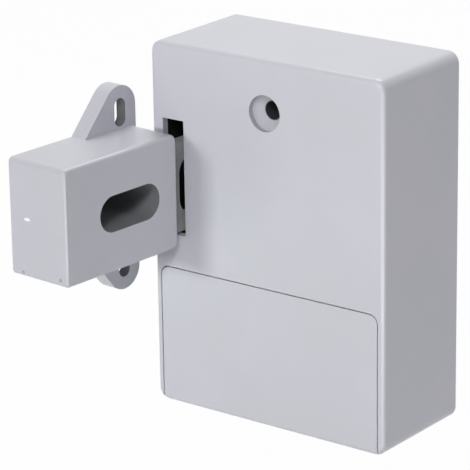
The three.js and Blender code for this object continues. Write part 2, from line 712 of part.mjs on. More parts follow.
function motorPinion() {
  const halfPitch = Math.PI / PINION_TEETH;
  const blank = gearBlank(PINION_TEETH, Math.PI + halfPitch, motorX, motorZ, wheelFront, wheelBack);
  return cut(blank, cylinderAlongY(MOTOR_SHAFT + GAP, motorX, motorZ, 0, bodyDepth, SMALL_ROUND));
}

function motor() {
  const can = cylinderAlongY(MOTOR_RADIUS, motorX, motorZ, motorFront, motorBack);
  const shaft = cylinderAlongY(
    MOTOR_SHAFT, motorX, motorZ, wheelFront - MOTOR_PINION_END, motorFront + CUT, SMALL_ROUND);
  return join(can, shaft);
}

function gearAxle() {
  const headFront = wheelBack + GAP;
  return latheAlongY([
    [0, FRONT_WALL + GAP], [AXLE_RADIUS, FRONT_WALL + GAP], [AXLE_RADIUS, headFront],
    [AXLE_HEAD, headFront], [AXLE_HEAD, headFront + AXLE_RADIUS], [0, headFront + AXLE_RADIUS],
  ], gearX, gearZ);
}

// The plate that closes the bolt's channels, with the sleeve that holds the motor
function mechanismBracket() {
  const xs = bracketScrewPlaces.map(([x]) => x);
  const zs = bracketScrewPlaces.map(([, z]) => z);
  const plate = block(
    Math.min(...xs) - BRACKET_MARGIN, Math.max(...xs) + BRACKET_MARGIN, bracketFront, bracketBack,
    Math.min(...zs) - BRACKET_MARGIN, Math.max(...zs) + BRACKET_MARGIN);
  const sleeve = cylinderAlongY(
    sleeveOuter, motorX, motorZ, bracketFront + BRACKET_THICKNESS / 2, motorFront + SLEEVE_GRIP);
  const pinionSpace = pinionRadius + ADDENDUM + RUNNING_GAP;
  return cut(
    join(plate, sleeve),
    cylinderAlongY(pinionSpace, motorX, motorZ, bracketBack, motorFront + CUT),
    cylinderAlongY(sleeveInner, motorX, motorZ, motorFront - GAP, motorFront + SLEEVE_GRIP + CUT),
    cylinderAlongY(wheelRadius + ADDENDUM + RUNNING_GAP, gearX, gearZ, bracketBack, wheelBack + RUNNING_GAP),
    cylinderAlongY(pinionSpace, gearX, gearZ, bracketFront - CUT, bracketBack + CUT),
    fixingTube(fixingX, fixingZ, FRONT_WALL, tubeRadius + GAP),
    ...bracketScrewPlaces.map(([x, z]) => cylinderAlongY(
      pilotRadius, x, z, bracketFront - CUT, bracketBack + CUT, SMALL_ROUND)));
}

// Electronics behind the bay floor
const boardLeft = BOARD_SIDE;
const boardRight = bodyWidth - BOARD_SIDE;
const partsFront = boardBack + GAP;
const partsZ = coverTop - BOARD_HEIGHT / 2;
const socketX = motorX + SOCKET_BESIDE_MOTOR;

const onBoard = (x, width, depth, height) => block(
  x - width / 2, x + width / 2, partsFront, partsFront + depth, partsZ - height / 2, partsZ + height / 2);
const standingOnBoard = (x, radius, height) => cylinderAlongY(
  radius, x, partsZ, partsFront, partsFront + height);

function circuitBoard() {
  const board = block(boardLeft, boardRight, boardFront, boardBack, boardLow, coverTop);
  return cut(board, ...boardScrewPlaces.map(([x, z]) => cylinderAlongY(
    pilotRadius, x, z, boardFront - CUT, boardBack + CUT, SMALL_ROUND)));
}

function addElectronics() {
  place('circuit_board', circuitBoard(), boardGreen);
  place('control_chip', onBoard(
    boardLeft + CONTROL_CHIP_FROM_LEFT,
    CONTROL_CHIP_SIZE, CONTROL_CHIP_HEIGHT, CONTROL_CHIP_SIZE), blackPlastic);
  place('reader_chip', onBoard(
    boardLeft + READER_CHIP_FROM_LEFT, READER_CHIP_SIZE, READER_CHIP_HEIGHT, READER_CHIP_SIZE), blackPlastic);
  place('motor_socket', onBoard(socketX, SOCKET_WIDTH, SOCKET_DEPTH, SOCKET_HEIGHT), connectorPlastic);
  place('buzzer', standingOnBoard(boardLeft + BUZZER_FROM_LEFT, BUZZER_RADIUS, BUZZER_HEIGHT), blackPlastic);
  place('capacitor', standingOnBoard(
    boardRight - CAPACITOR_FROM_RIGHT, CAPACITOR_RADIUS, CAPACITOR_HEIGHT), blackPlastic);
  const half = SWITCH_SIZE / 2;
  const flangeFront = floorBack + GAP;
  const flangeBack = flangeFront + BUTTON_FLANGE_THICKNESS;
  place('program_button', latheAlongY([
    [0, floorFront - BUTTON_PROUD], [BUTTON_RADIUS, floorFront - BUTTON_PROUD], [BUTTON_RADIUS, flangeFront],
    [BUTTON_FLANGE, flangeFront], [BUTTON_FLANGE, flangeBack], [0, flangeBack],
  ], serviceMiddle, buttonZ), blackPlastic);
  place('button_switch', block(
    serviceMiddle - half, serviceMiddle + half, flangeBack + BUTTON_TRAVEL + GAP / 2, boardFront - GAP,
    buttonZ - half, buttonZ + half), blackPlastic);
  const coilMiddle = (cornerInset + bossRadius + serviceMiddle - tubeRadius) / 2;
  const coilZ = coverTop / 2;
  const ring = (width, height) => roundedRectangle(
    coilMiddle - width / 2, coilMiddle + width / 2, coilZ - height / 2, coilZ + height / 2, COIL_BAND / 2);
  const coilBack = rearPlateFront - GAP;
  place('antenna_coil', cut(
    panelAlongY(ring(COIL_WIDTH, COIL_HEIGHT), coilBack - COIL_THICKNESS, coilBack),
    panelAlongY(ring(COIL_WIDTH - 2 * COIL_BAND, COIL_HEIGHT - 2 * COIL_BAND), 0, bodyDepth)), copper);
}

// Two wires from the back of the motor down to the socket on the board
function addMotorLeads() {
  const plugY = partsFront + SOCKET_DEPTH / 2;
  const plugZ = partsZ + SOCKET_HEIGHT / 2 + GAP;
  const leaveY = (motorFront + SLEEVE_GRIP + motorBack) / 2;
  [['motor_lead_red', -1, redWire], ['motor_lead_black', 1, blackWire]].forEach(([name, side, material]) => {
    const topX = motorX + side * LEAD_SPACING / 2;
    const plugX = socketX + side * LEAD_SPACING / 2;
    const drop = Math.sqrt(MOTOR_RADIUS ** 2 - (LEAD_SPACING / 2) ** 2) + LEAD_RADIUS / 2 + GAP;
    const topZ = motorZ - drop;
    const points = [
      [topX, leaveY, topZ],
      [topX, leaveY, topZ - LEAD_STRAIGHT],
      [(topX + plugX) / 2, (leaveY + plugY) / 2, (topZ + plugZ) / 2],
      [plugX, plugY, plugZ + LEAD_STRAIGHT],
      [plugX, plugY, plugZ],
    ];
    place(name, tube(points, LEAD_RADIUS, LEAD_SIDES, LEAD_STEPS), material);
  });
}

// Keeper block: hollow from its fixing face, with the well and two slotted ears
const keeperHalf = KEEPER_WIDTH / 2;
const keeperTop = KEEPER_HEIGHT / 2;
const keeperInner = keeperHalf - KEEPER_WALL;
const tongueOuter = keeperInner - GAP;
const tongueInner = tongueOuter - TONGUE_THICKNESS;
const wellMiddle = -WELL_FROM_REAR - WELL_LENGTH / 2;
const tongueLow = -TONGUE_HEIGHT / 2;
const tongueHigh = TONGUE_HEIGHT / 2;
const wellOuterHalf = WELL_HEIGHT / 2 + WELL_WALL;
const forkEnd = -WELL_FROM_REAR + WELL_WALL + GAP;
const tongueScrewPlaces = [tongueHigh, tongueLow].map((end) => {
  const armEdge = Math.sign(end) * (wellOuterHalf + GAP);
  return [-TONGUE_FORK / 2 + forkEnd / 2, (end + armEdge) / 2];
});
keeper.position.x -= tongueInner + TONGUE_THICKNESS / 2 + KEEPER_SIDE_PLAY;

// The upper ear has side 1 and the lower ear side -1
const ears = [{ side: 1, rise: EAR_RISE }, { side: -1, rise: LOWER_EAR_DROP }];

function earShape({ side, rise }) {
  const middleY = -EAR_RADIUS;
  const middleZ = keeperTop + rise;
  const runY = -EAR_RUN - middleY;
  const reach = Math.hypot(runY, rise);
  const tangent = Math.atan2(-rise, runY) - Math.acos(EAR_RADIUS / reach);
  const shape = new THREE.Shape();
  shape.moveTo(-EAR_RUN, keeperTop);
  shape.lineTo(-EAR_RUN, keeperTop - KEEPER_WALL / 2);
  shape.lineTo(-KEEPER_REAR_CORNER, keeperTop - KEEPER_WALL / 2);
  shape.lineTo(0, keeperTop - KEEPER_REAR_CORNER);
  shape.lineTo(0, middleZ);
  shape.absarc(middleY, middleZ, EAR_RADIUS, 0, 2 * Math.PI + tangent, false);
  shape.closePath();
  if (side > 0) return shape;
  const flipped = shape.getPoints(CORNER_STEPS).map((point) => new THREE.Vector2(point.x, -point.y));
  return new THREE.Shape(flipped.reverse());
}

// The slot's fixing side is recessed, so that a screw bears on a thin web
function earSlot({ side, rise }) {
  const middle = keeperTop + rise + EAR_RADIUS - EAR_SLOT_BELOW_TIP;
  const slot = obround(-EAR_RADIUS, side * middle, EAR_SLOT_LENGTH, EAR_SLOT_WIDTH, true);
  const recess = obround(-EAR_RADIUS, side * middle,
    EAR_SLOT_LENGTH + 2 * EAR_RECESS_END, 2 * (EAR_RADIUS - EAR_RECESS_RIM), true);
  return join(
    panelAlongX(slot, -keeperHalf - CUT, -keeperHalf + EAR_THICKNESS + CUT),
    panelAlongX(recess, -keeperHalf - CUT, -keeperHalf + EAR_THICKNESS - EAR_WEB));
}

function keeperHousing() {
  const outline = roundedRectangle(-KEEPER_LENGTH, 0, -keeperTop, keeperTop,
    [KEEPER_FRONT_CORNER, KEEPER_REAR_CORNER, KEEPER_REAR_CORNER, KEEPER_FRONT_CORNER]);
  const rounded = panelAlongX(outline, -keeperHalf - 2 * KEEPER_EDGE, keeperHalf, KEEPER_EDGE);
  const outside = cut(rounded, block(
    -keeperHalf - CUT - 2 * KEEPER_EDGE, -keeperHalf,
    -KEEPER_LENGTH - CUT, CUT, -keeperTop - CUT, keeperTop + CUT));
  const hollow = block(-keeperHalf - CUT, keeperInner, -KEEPER_LENGTH + KEEPER_WALL, -KEEPER_WALL,
    -keeperTop + KEEPER_WALL, keeperTop - KEEPER_WALL);
  const well = obround(wellMiddle, 0, WELL_LENGTH + 2 * WELL_WALL, WELL_HEIGHT + 2 * WELL_WALL);
  const wellSpace = obround(wellMiddle, 0, WELL_LENGTH, WELL_HEIGHT);
  const wellSlot = obround(wellMiddle, 0, WELL_SLOT_LENGTH, WELL_SLOT_WIDTH);
  const ledgeFace = tongueInner - GAP;
  const ledges = [1, -1].map((side) => {
    const armEdge = side * (wellOuterHalf + GAP);
    const wallEdge = side * (keeperTop - KEEPER_WALL / 2);
    return block(ledgeFace - LEDGE_THICKNESS, ledgeFace, -TONGUE_FORK, forkEnd,
      Math.min(armEdge, wallEdge), Math.max(armEdge, wallEdge));
  });
  return cut(
    join(cut(outside, hollow), panelAlongX(well, -keeperHalf, keeperHalf - KEEPER_WALL / 2), ...ledges,
      ...ears.map((ear) => panelAlongX(earShape(ear), -keeperHalf, -keeperHalf + EAR_THICKNESS))),
    panelAlongX(wellSpace, -keeperHalf + WELL_FLOOR, keeperHalf + CUT),
    panelAlongX(wellSlot, -keeperHalf - CUT, keeperHalf),
    block(tongueInner - GAP, tongueOuter + GAP, -KEEPER_WALL - CUT, CUT, tongueLow - GAP, tongueHigh + GAP),
    ...tongueScrewPlaces.map(([y, z]) => cylinderAlongX(
      TONGUE_SCREW_SHANK + GAP, y, z, ledgeFace - LEDGE_THICKNESS - CUT, ledgeFace + CUT, SMALL_ROUND)),
    ...ears.map(earSlot));
}

function strikeTongue() {
  const outline = roundedRectangle(-TONGUE_FORK, TONGUE_REACH, tongueLow, tongueHigh,
    [FORK_CORNER, TONGUE_CORNER, TONGUE_CORNER, FORK_CORNER]);
  const holeMiddle = boltFront + BOLT_THICKNESS / 2 + KEEPER_STANDOFF;
  const hole = roundedRectangle(
    holeMiddle - TONGUE_HOLE_LENGTH / 2, holeMiddle + TONGUE_HOLE_LENGTH / 2,
    -TONGUE_HOLE_HEIGHT / 2, TONGUE_HOLE_HEIGHT / 2, TONGUE_HOLE_CORNER);
  const notch = wellOuterHalf + GAP;
  return cut(
    panelAlongX(outline, tongueInner, tongueOuter),
    panelAlongX(hole, tongueInner - CUT, tongueOuter + CUT),
    block(tongueInner - CUT, tongueOuter + CUT, -TONGUE_FORK - CUT, forkEnd, -notch, notch),
    ...tongueScrewPlaces.map(([y, z]) => cylinderAlongX(
      TONGUE_SCREW_SHANK + GAP, y, z, tongueInner - CUT, tongueOuter + CUT, SMALL_ROUND)));
}

// The tongue's screws point along x, so each is made along y and turned
function addTongueScrews() {
  const headTop = tongueInner - GAP - LEDGE_THICKNESS - GAP - SCREW_HEAD_HEIGHT;
  tongueScrewPlaces.forEach(([y, z], index) => {
    const geometry = screwGeometry(0, 0, headTop, 1, TONGUE_SCREW_SHANK, TONGUE_SCREW_LENGTH);
    geometry.rotateZ(-Math.PI / 2);
    geometry.translate(0, y, z);
    place(`tongue_screw_${index + 1}`, geometry, steel, keeper);
  });
}

// Assembly
place('front_housing', frontHousing(), greyPlastic);
place('battery_cover', batteryCover(), greyPlastic);
place('rear_plate', rearPlate(), greyPlastic);
rearScrewPlaces.forEach(([x, z], index) => {
  place(`rear_screw_${index + 1}`, screwGeometry(x, z, bodyDepth - GAP, -1), steel);
});
addCells();
const last = CELL_COUNT - 1;
place('contact_plus', contactPlate(contactLeft, last, last, true), plated);
place('contact_link_left', contactPlate(contactLeft, 0, last - 1, false), plated);
place('contact_link_right', contactPlate(contactRight, 1, last, false), plated);
place('contact_minus', contactPlate(contactRight, 0, 0, true), plated);
place('lock_bolt', lockBolt(), steel);
place('drive_gear', driveGear(), gearPlastic);
place('gear_axle', gearAxle(), steel);
place('motor', motor(), plated);
place('motor_pinion', motorPinion(), gearPlastic);
place('mechanism_bracket', mechanismBracket(), innerPlastic);
bracketScrewPlaces.forEach(([x, z], index) => {
  place(`bracket_screw_${index + 1}`, screwGeometry(
    x, z, bracketBack + GAP + SCREW_HEAD_HEIGHT, -1, SCREW_SHANK, SCREW_LENGTH), steel);
});
addElectronics();
boardScrewPlaces.forEach(([x, z], index) => {
  const length = boardBack - floorBack;
  place(`board_screw_${index + 1}`, screwGeometry(
    x, z, boardBack + GAP + SCREW_HEAD_HEIGHT, -1, SCREW_SHANK, length), steel);
});
addMotorLeads();
place('keeper_housing', keeperHousing(), greyPlastic, keeper);
place('strike_tongue', strikeTongue(), plated, keeper);
addTongueScrews();

export default lock;
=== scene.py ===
# %% [markdown]
# # A cabinet lock that opens to a card, and the keeper that plugs into it
# The lock is a plain moulded box with a battery cover, a screw hole and a slot. A keeper block with
# two slotted ears stands in front of the slot, with its tongue inside. The CAD frame already holds
# every piece at its real size. This lesson gives the pieces soft moulded edges, finishes, painted shade and
# light.

# %% Load the measured frame
import json
import math

import bmesh
import bpy
from mathutils import Matrix, Vector

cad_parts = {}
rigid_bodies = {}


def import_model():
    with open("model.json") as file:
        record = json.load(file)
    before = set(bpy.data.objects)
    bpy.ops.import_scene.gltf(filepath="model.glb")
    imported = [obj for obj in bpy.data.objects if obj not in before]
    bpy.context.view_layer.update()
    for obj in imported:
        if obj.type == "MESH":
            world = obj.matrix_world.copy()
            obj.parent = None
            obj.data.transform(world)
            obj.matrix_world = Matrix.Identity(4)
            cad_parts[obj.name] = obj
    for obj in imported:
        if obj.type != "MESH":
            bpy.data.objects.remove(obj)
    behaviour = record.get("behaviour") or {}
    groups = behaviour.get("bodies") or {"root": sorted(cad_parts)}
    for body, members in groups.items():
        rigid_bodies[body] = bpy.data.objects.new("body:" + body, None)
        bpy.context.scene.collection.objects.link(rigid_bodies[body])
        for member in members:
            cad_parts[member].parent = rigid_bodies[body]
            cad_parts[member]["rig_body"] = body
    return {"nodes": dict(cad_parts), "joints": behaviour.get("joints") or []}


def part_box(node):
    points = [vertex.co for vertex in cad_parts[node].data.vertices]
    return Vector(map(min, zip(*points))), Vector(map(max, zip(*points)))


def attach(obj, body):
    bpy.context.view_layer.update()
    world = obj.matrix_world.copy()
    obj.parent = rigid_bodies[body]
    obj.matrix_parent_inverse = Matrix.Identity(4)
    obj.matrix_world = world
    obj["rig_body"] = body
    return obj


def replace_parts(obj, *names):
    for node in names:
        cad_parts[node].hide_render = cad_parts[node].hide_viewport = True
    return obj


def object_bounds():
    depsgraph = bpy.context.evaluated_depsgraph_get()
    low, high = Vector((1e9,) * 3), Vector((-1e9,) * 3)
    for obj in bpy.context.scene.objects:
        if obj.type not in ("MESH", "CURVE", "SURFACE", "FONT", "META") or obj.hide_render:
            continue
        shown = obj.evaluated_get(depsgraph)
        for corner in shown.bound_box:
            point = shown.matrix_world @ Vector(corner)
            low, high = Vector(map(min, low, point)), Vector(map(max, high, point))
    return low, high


MM = 0.001
for leftover in list(bpy.data.objects):
    bpy.data.objects.remove(leftover)
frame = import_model()
nodes = frame["nodes"]
cad_low, cad_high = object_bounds()
print("nodes:", len(nodes), "CAD box, mm:", [round(side / MM, 1) for side in cad_high - cad_low])

# %% [markdown]
# ## Colours, nodes and objects
# Sizes are given in millimetres and turned to the frame's metres where they are used. Colours are
# picked as sRGB hex, but shaders add light, so they need linear values. One small helper adds a node,
# sets it and links it, in a material or in a geometry tree alike. Its inner half also fills the inputs
# of a node that is there already. The last helper puts an object in the scene.

# %% Helpers for colours, nodes and objects


def linear(hex_colour):
    """An sRGB hex colour as linear red, green, blue and alpha."""
    channels = [int(hex_colour[start:start + 2], 16) / 255 for start in (1, 3, 5)]
    return (*(c / 12.92 if c <= 0.04045 else ((c + 0.055) / 1.055) ** 2.4 for c in channels), 1.0)


def fill(tree, node, inputs):
    """Fill a node's inputs with values, sockets or lists of sockets."""
    for name, value in inputs.items():
        for item in value if isinstance(value, list) else [value]:
            if isinstance(item, bpy.types.NodeSocket):
                tree.links.new(item, node.inputs[name])
            else:
                node.inputs[name].default_value = item


def add(tree, kind, inputs=None, **settings):
    """Add one node with its settings, and fill its inputs."""
    node = tree.nodes.new(kind)
    for name, value in settings.items():
        setattr(node, name, value)
    fill(tree, node, inputs or {})
    return node


def linked(name, data):
    """An object with this data, in the scene."""
    made = bpy.data.objects.new(name, data)
    bpy.context.scene.collection.objects.link(made)
    return made


# %% [markdown]
# ## The camera
# The photograph was taken with a long lens from the front right, a little above the lock. Its place
# was worked out from the housing's own edges, so that the CAD box falls on the photographed outline.
# A camera matrix has the picture's right, up and backward directions as its columns.

# %% Place the camera
PICTURE_SIDE = 470
FOCAL_LENGTH_PIXELS = 2847.87
SENSOR_MM = 36.0
CAMERA_AZIMUTH = math.radians(37.409)
CAMERA_ELEVATION = math.radians(18.527)
CAMERA_ROLL = -0.016
CAMERA_PLACE = Vector((395.410, -561.371, 224.703)) * MM


def towards(azimuth, elevation):
    """The direction from the object to a place round it: azimuth 0 is in front, 90 is on the right."""
    flat = math.cos(elevation)
    return Vector((math.sin(azimuth) * flat, -math.cos(azimuth) * flat, math.sin(elevation)))


backward = towards(CAMERA_AZIMUTH, CAMERA_ELEVATION)
level = Vector((math.cos(CAMERA_AZIMUTH), math.sin(CAMERA_AZIMUTH), 0))
upright = backward.cross(level)
right = level * math.cos(CAMERA_ROLL) + upright * math.sin(CAMERA_ROLL)
up = upright * math.cos(CAMERA_ROLL) - level * math.sin(CAMERA_ROLL)
camera = linked("camera", bpy.data.cameras.new("camera"))
camera.data.sensor_width = SENSOR_MM
camera.data.lens = FOCAL_LENGTH_PIXELS / PICTURE_SIDE * SENSOR_MM
camera.matrix_world = Matrix.Translation(CAMERA_PLACE) @ Matrix((right, up, backward)).transposed().to_4x4()
bpy.context.scene.camera = camera
print("lens, mm:", round(camera.data.lens, 1))

# %% [markdown]
# ## Finishes
# Nearly everything here is moulded plastic or plain sheet metal. Neither is ever one flat colour:
# plastic has a fine grain left by the mould and faint cloudy patches where it flowed, and metal has
# streaks along the direction in which it was drawn or rolled. One function makes both. A noise as
# wide as the grain drives the bump and the gloss, and a larger one drifts between two colours.

# %% One function for a grained surface
PATCH_EDGES = (0.35, 0.65)
GLOSS_DRIFT = 0.08


def surface(name, colours, roughness, grain_mm, relief_mm, patch_mm, streak=(1, 1, 1), metallic=0.0,
            ior=1.5):
    """A material whose grain, relief and colour patches are given in millimetres."""
    finish = bpy.data.materials.new(name)
    finish.use_nodes = True
    tree = finish.node_tree
    place = add(tree, "ShaderNodeTexCoord")
    stretched = add(tree, "ShaderNodeMapping", {"Vector": place.outputs["Object"], "Scale": streak})
    grain = add(tree, "ShaderNodeTexNoise", {
        "Vector": stretched.outputs["Vector"], "Scale": 1 / (grain_mm * MM), "Detail": 3.0})
    patches = add(tree, "ShaderNodeTexNoise", {
        "Vector": place.outputs["Object"], "Scale": 1 / (patch_mm * MM), "Detail": 2.0})
    drift = add(tree, "ShaderNodeValToRGB", {"Fac": patches.outputs["Fac"]})
    for stop, share, colour in zip(drift.color_ramp.elements, PATCH_EDGES, colours):
        stop.position = share
        stop.color = linear(colour)
    gloss = add(tree, "ShaderNodeMapRange", {
        "Value": grain.outputs["Fac"], "To Min": roughness - GLOSS_DRIFT,
        "To Max": roughness + GLOSS_DRIFT})
    bump = add(tree, "ShaderNodeBump", {"Height": grain.outputs["Fac"], "Distance": relief_mm * MM})
    fill(tree, tree.nodes["Principled BSDF"], {
        "Base Color": drift.outputs["Color"], "Roughness": gloss.outputs["Result"],
        "Normal": bump.outputs["Normal"], "Metallic": metallic, "IOR": ior})
    return finish


# %% [markdown]
# ### Plastics
# Each finish starts from what the real piece is made of. The casing is ABS with a satin mould finish,
# which scatters light widely and keeps only a soft sheen. Darker and duller copies of the same plastic
# are painted shade: on the keeper, in its cored places and dents, and in the fixing hole. The gears are
# acetal, milky and waxy.

# %% Make the plastics
ABS_IOR = 1.53
# The mould's real grain is near 0.05 mm, too fine to show, so it is drawn at 0.3 mm.
grey_abs = surface("satin_grey_abs", ("#C7C9CF", "#CACAD2"), roughness=0.33, grain_mm=0.3,
                   relief_mm=0.004, patch_mm=22, ior=ABS_IOR)
# The keeper takes the housing's grey ABS a shade darker, as painted shade. The keeper
# comes from another tool and batch, a shade darker.
keeper_painted_shade_abs = surface("satin_keeper_painted_shade_abs", ("#C0C2C8", "#C3C3CB"), roughness=0.33, grain_mm=0.35,
                     relief_mm=0.012, patch_mm=22, ior=ABS_IOR)
# Pins that push the keeper out of its tool leave dull spots; their darker grey is painted shade in the
# dents.
pin_mark_and_painted_shade_abs = surface("pin_mark_and_painted_shade_grey_abs", ("#9C9DA3", "#A3A4AA"), roughness=0.6, grain_mm=0.3,
                         relief_mm=0.004, patch_mm=22, ior=ABS_IOR)
# Painted shade for the keeper's well and ear slots: a dark, coarse grey.
cored_painted_shade_abs = surface("cored_painted_shade_grey_abs", ("#7A7B80", "#858689"), roughness=0.85, grain_mm=0.3,
                     relief_mm=0.02, patch_mm=8, ior=ABS_IOR)
# Torn plastic at a gate turns white and a little glossy; its near-white here is partly a painted highlight.
torn_and_painted_highlight_abs = surface("torn_white_and_painted_highlight_abs", ("#F4F5F8", "#FCFCFE"), roughness=0.3, grain_mm=0.2,
                   relief_mm=0.006, patch_mm=1, ior=ABS_IOR)
# Inner mouldings have no polish, so they are duller and darker; in the fixing hole this grey is painted
# shade.
plain_abs_and_painted_shade = surface("plain_inner_abs_and_painted_shade", ("#BBBCC3", "#C1C2C9"), roughness=0.62, grain_mm=0.3,
                    relief_mm=0.006, patch_mm=15, ior=ABS_IOR)
# Black ABS shows its grain mostly in the gloss.
black_abs = surface("moulded_black_abs", ("#1B1C1E", "#232426"), roughness=0.48, grain_mm=0.25,
                    relief_mm=0.005, patch_mm=10, ior=ABS_IOR)
# The dark grey sleeve in the fixing hole is painted shade.
painted_shade_sleeve_abs = surface("painted_shade_dark_sleeve", ("#3C3D42", "#45464B"), roughness=0.5, grain_mm=0.25,
                     relief_mm=0.005, patch_mm=10, ior=ABS_IOR)
# Acetal is milky, and feels and looks waxy.
acetal = surface("natural_acetal", ("#E9E5D8", "#F0EDE3"), roughness=0.38, grain_mm=0.4,
                 relief_mm=0.003, patch_mm=6, ior=1.48)
# Nylon sockets are ivory and a little glossy.
nylon = surface("ivory_nylon", ("#E9E4D2", "#EFEBDD"), roughness=0.4, grain_mm=0.3, relief_mm=0.003,
                patch_mm=5, ior=1.53)
# Vinyl wire jackets are smooth and glossy.
red_vinyl = surface("red_vinyl_jacket", ("#A61C18", "#B52520"), roughness=0.3, grain_mm=0.5,
                    relief_mm=0.002, patch_mm=4, ior=1.53)
black_vinyl = surface("black_vinyl_jacket", ("#17181A", "#202123"), roughness=0.3, grain_mm=0.5,
                      relief_mm=0.002, patch_mm=4, ior=1.53)
print("materials so far:", len(bpy.data.materials))

# %% [markdown]
# ### Metals, films and painted shade
# Screws are zinc plated, contacts are nickel plated, and the tongue is a plain grey zinc casting. The
# cells wear a printed film, and the inside of the housing is painted matt black as shade.

# %% Make the metals, films and the painted shade
# Cast zinc with a grey conversion coat is dull, with cloudy patches.
cast_zinc = surface("coated_cast_zinc", ("#B8B9BC", "#C4C5C7"), roughness=0.5, grain_mm=0.25,
                    relief_mm=0.006, patch_mm=5, metallic=0.2)
# A drawn steel bar carries fine lines along its length, here along X.
drawn_steel = surface("drawn_bolt_steel", ("#A4A7AB", "#B4B7BA"), roughness=0.34, grain_mm=0.2,
                      relief_mm=0.003, patch_mm=6, streak=(0.04, 1, 1), metallic=1.0)
# Zinc plate on a screw is bright with a faint blue cast.
zinc_plate = surface("zinc_plated_steel", ("#A9AEB4", "#BCC0C4"), roughness=0.3, grain_mm=0.25,
                     relief_mm=0.003, patch_mm=2, metallic=1.0)
# Nickel plate on spring steel is brighter and slightly warm.
nickel_plate = surface("nickel_plated_steel", ("#C4C2BC", "#D2D0CA"), roughness=0.24, grain_mm=0.3,
                       relief_mm=0.002, patch_mm=4, streak=(1, 1, 0.08), metallic=1.0)
# Enamel over copper wire is amber and glossy.
enamelled_copper = surface("enamelled_copper", ("#9E4F22", "#B4642F"), roughness=0.26, grain_mm=0.4,
                           relief_mm=0.002, patch_mm=3, metallic=1.0)
# The cell's jacket is a printed film with a metallic base.
cell_film = surface("blue_cell_film", ("#2C4F8A", "#34599A"), roughness=0.32, grain_mm=0.4,
                    relief_mm=0.002, patch_mm=12, metallic=0.3)
# The band at the cell's plus end is film without the blue print.
cell_band = surface("silver_cell_film", ("#C8C9CB", "#D3D4D6"), roughness=0.3, grain_mm=0.4,
                    relief_mm=0.002, patch_mm=12, metallic=0.6)
# Matt black painted shade for the inside of the housing, with a faint orange-peel.
painted_shade_black = surface("painted_shade_matt_black", ("#161718", "#1B1C1E"), roughness=0.7,
                        grain_mm=0.4, relief_mm=0.006, patch_mm=10)
print("materials so far:", len(bpy.data.materials))

# %% [markdown]
# ### Solder mask with tracks under it
# A circuit board is green because a lacquer covers the copper. The tracks still show through it as
# slightly lighter, raised lines. A brick pattern with staggered rows gives the short runs and gaps of
# real tracks, and the bump lifts them by the thickness of the copper.

# %% Add tracks to the board's lacquer
TRACK_RUN_MM = 9.0
TRACK_PITCH_MM = 1.3
TRACK_SHARE = 0.45
COPPER_THICKNESS_MM = 0.035
solder_mask = surface("green_solder_mask", ("#14452B", "#184F32"), roughness=0.36, grain_mm=0.3,
                      relief_mm=0.002, patch_mm=8, ior=1.52)
mask_tree = solder_mask.node_tree
mask_place = add(mask_tree, "ShaderNodeTexCoord")
flat_place = add(mask_tree, "ShaderNodeMapping", {
    "Vector": mask_place.outputs["Object"], "Rotation": (math.pi / 2, 0, 0)})
tracks = add(mask_tree, "ShaderNodeTexBrick", {
    "Vector": flat_place.outputs["Vector"], "Scale": 1.0, "Mortar Smooth": 0.0,
    "Color1": linear("#1C5F3C"), "Color2": linear("#1F6641"), "Mortar": linear("#13422A"),
    "Brick Width": TRACK_RUN_MM * MM, "Row Height": TRACK_PITCH_MM * MM,
    "Mortar Size": TRACK_PITCH_MM * MM * TRACK_SHARE / 2})
lift = add(mask_tree, "ShaderNodeBump", {
    "Height": tracks.outputs["Fac"], "Distance": COPPER_THICKNESS_MM * MM}, invert=True)
fill(mask_tree, mask_tree.nodes["Principled BSDF"], {
    "Base Color": tracks.outputs["Color"], "Normal": lift.outputs["Normal"]})
print("nodes in the solder mask:", len(mask_tree.nodes))

# %% [markdown]
# ## Putting a piece in place
# Every new mesh stands for one or more CAD nodes, rides on the same body, and takes the finishes it is
# given. One function says all of that. It also shades the mesh smoothly, keeps real edges sharp, and
# lets the large faces decide the normals, as on a moulding.

# %% Helpers that finish a mesh
WELD = 0.002 * MM
FLAT_ANGLE = math.radians(1.0)
SHARP_ANGLE = math.radians(40.0)


def dress(name, mesh, finishes, node):
    """Show a mesh on the body of a CAD node, with the finishes that are given."""
    # Clearing also resets the number of each face's finish, so an empty list is left alone.
    if mesh.materials:
        mesh.materials.clear()
    for finish in finishes:
        mesh.materials.append(finish)
    mesh.shade_smooth()
    mesh.set_sharp_from_angle(angle=SHARP_ANGLE)
    made = linked(name, mesh)
    made.modifiers.new("face_weighted_normals", "WEIGHTED_NORMAL").keep_sharp = True
    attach(made, nodes[node]["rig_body"])
    return made


def show(name, mesh, finishes, *stood_for):
    """Show a mesh in place of CAD nodes."""
    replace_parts(dress(name, mesh, finishes, stood_for[0]), *stood_for)


def mesh_from(name, shape):
    """Turn a bmesh into a mesh, and let the bmesh go."""
    mesh = bpy.data.meshes.new(name)
    shape.to_mesh(mesh)
    shape.free()
    return mesh


def settled(made):
    """The plain mesh that an object's modifiers give. The object itself goes."""
    bpy.context.view_layer.update()
    mesh = bpy.data.meshes.new_from_object(made.evaluated_get(bpy.context.evaluated_depsgraph_get()))
    bpy.data.objects.remove(made)
    return mesh


# %% [markdown]
# ## Soft edges on the mouldings
# No moulding has a knife edge: each one leaves the tool with a small radius, and that radius is what
# catches the light in the photograph. The CAD solids already have their large fillets, so a copy is
# enough. Its triangles are merged back into whole faces, and a bevel rounds each edge still sharp.

# %% Round the edges of copied CAD shapes
EDGE_SEGMENTS = 3


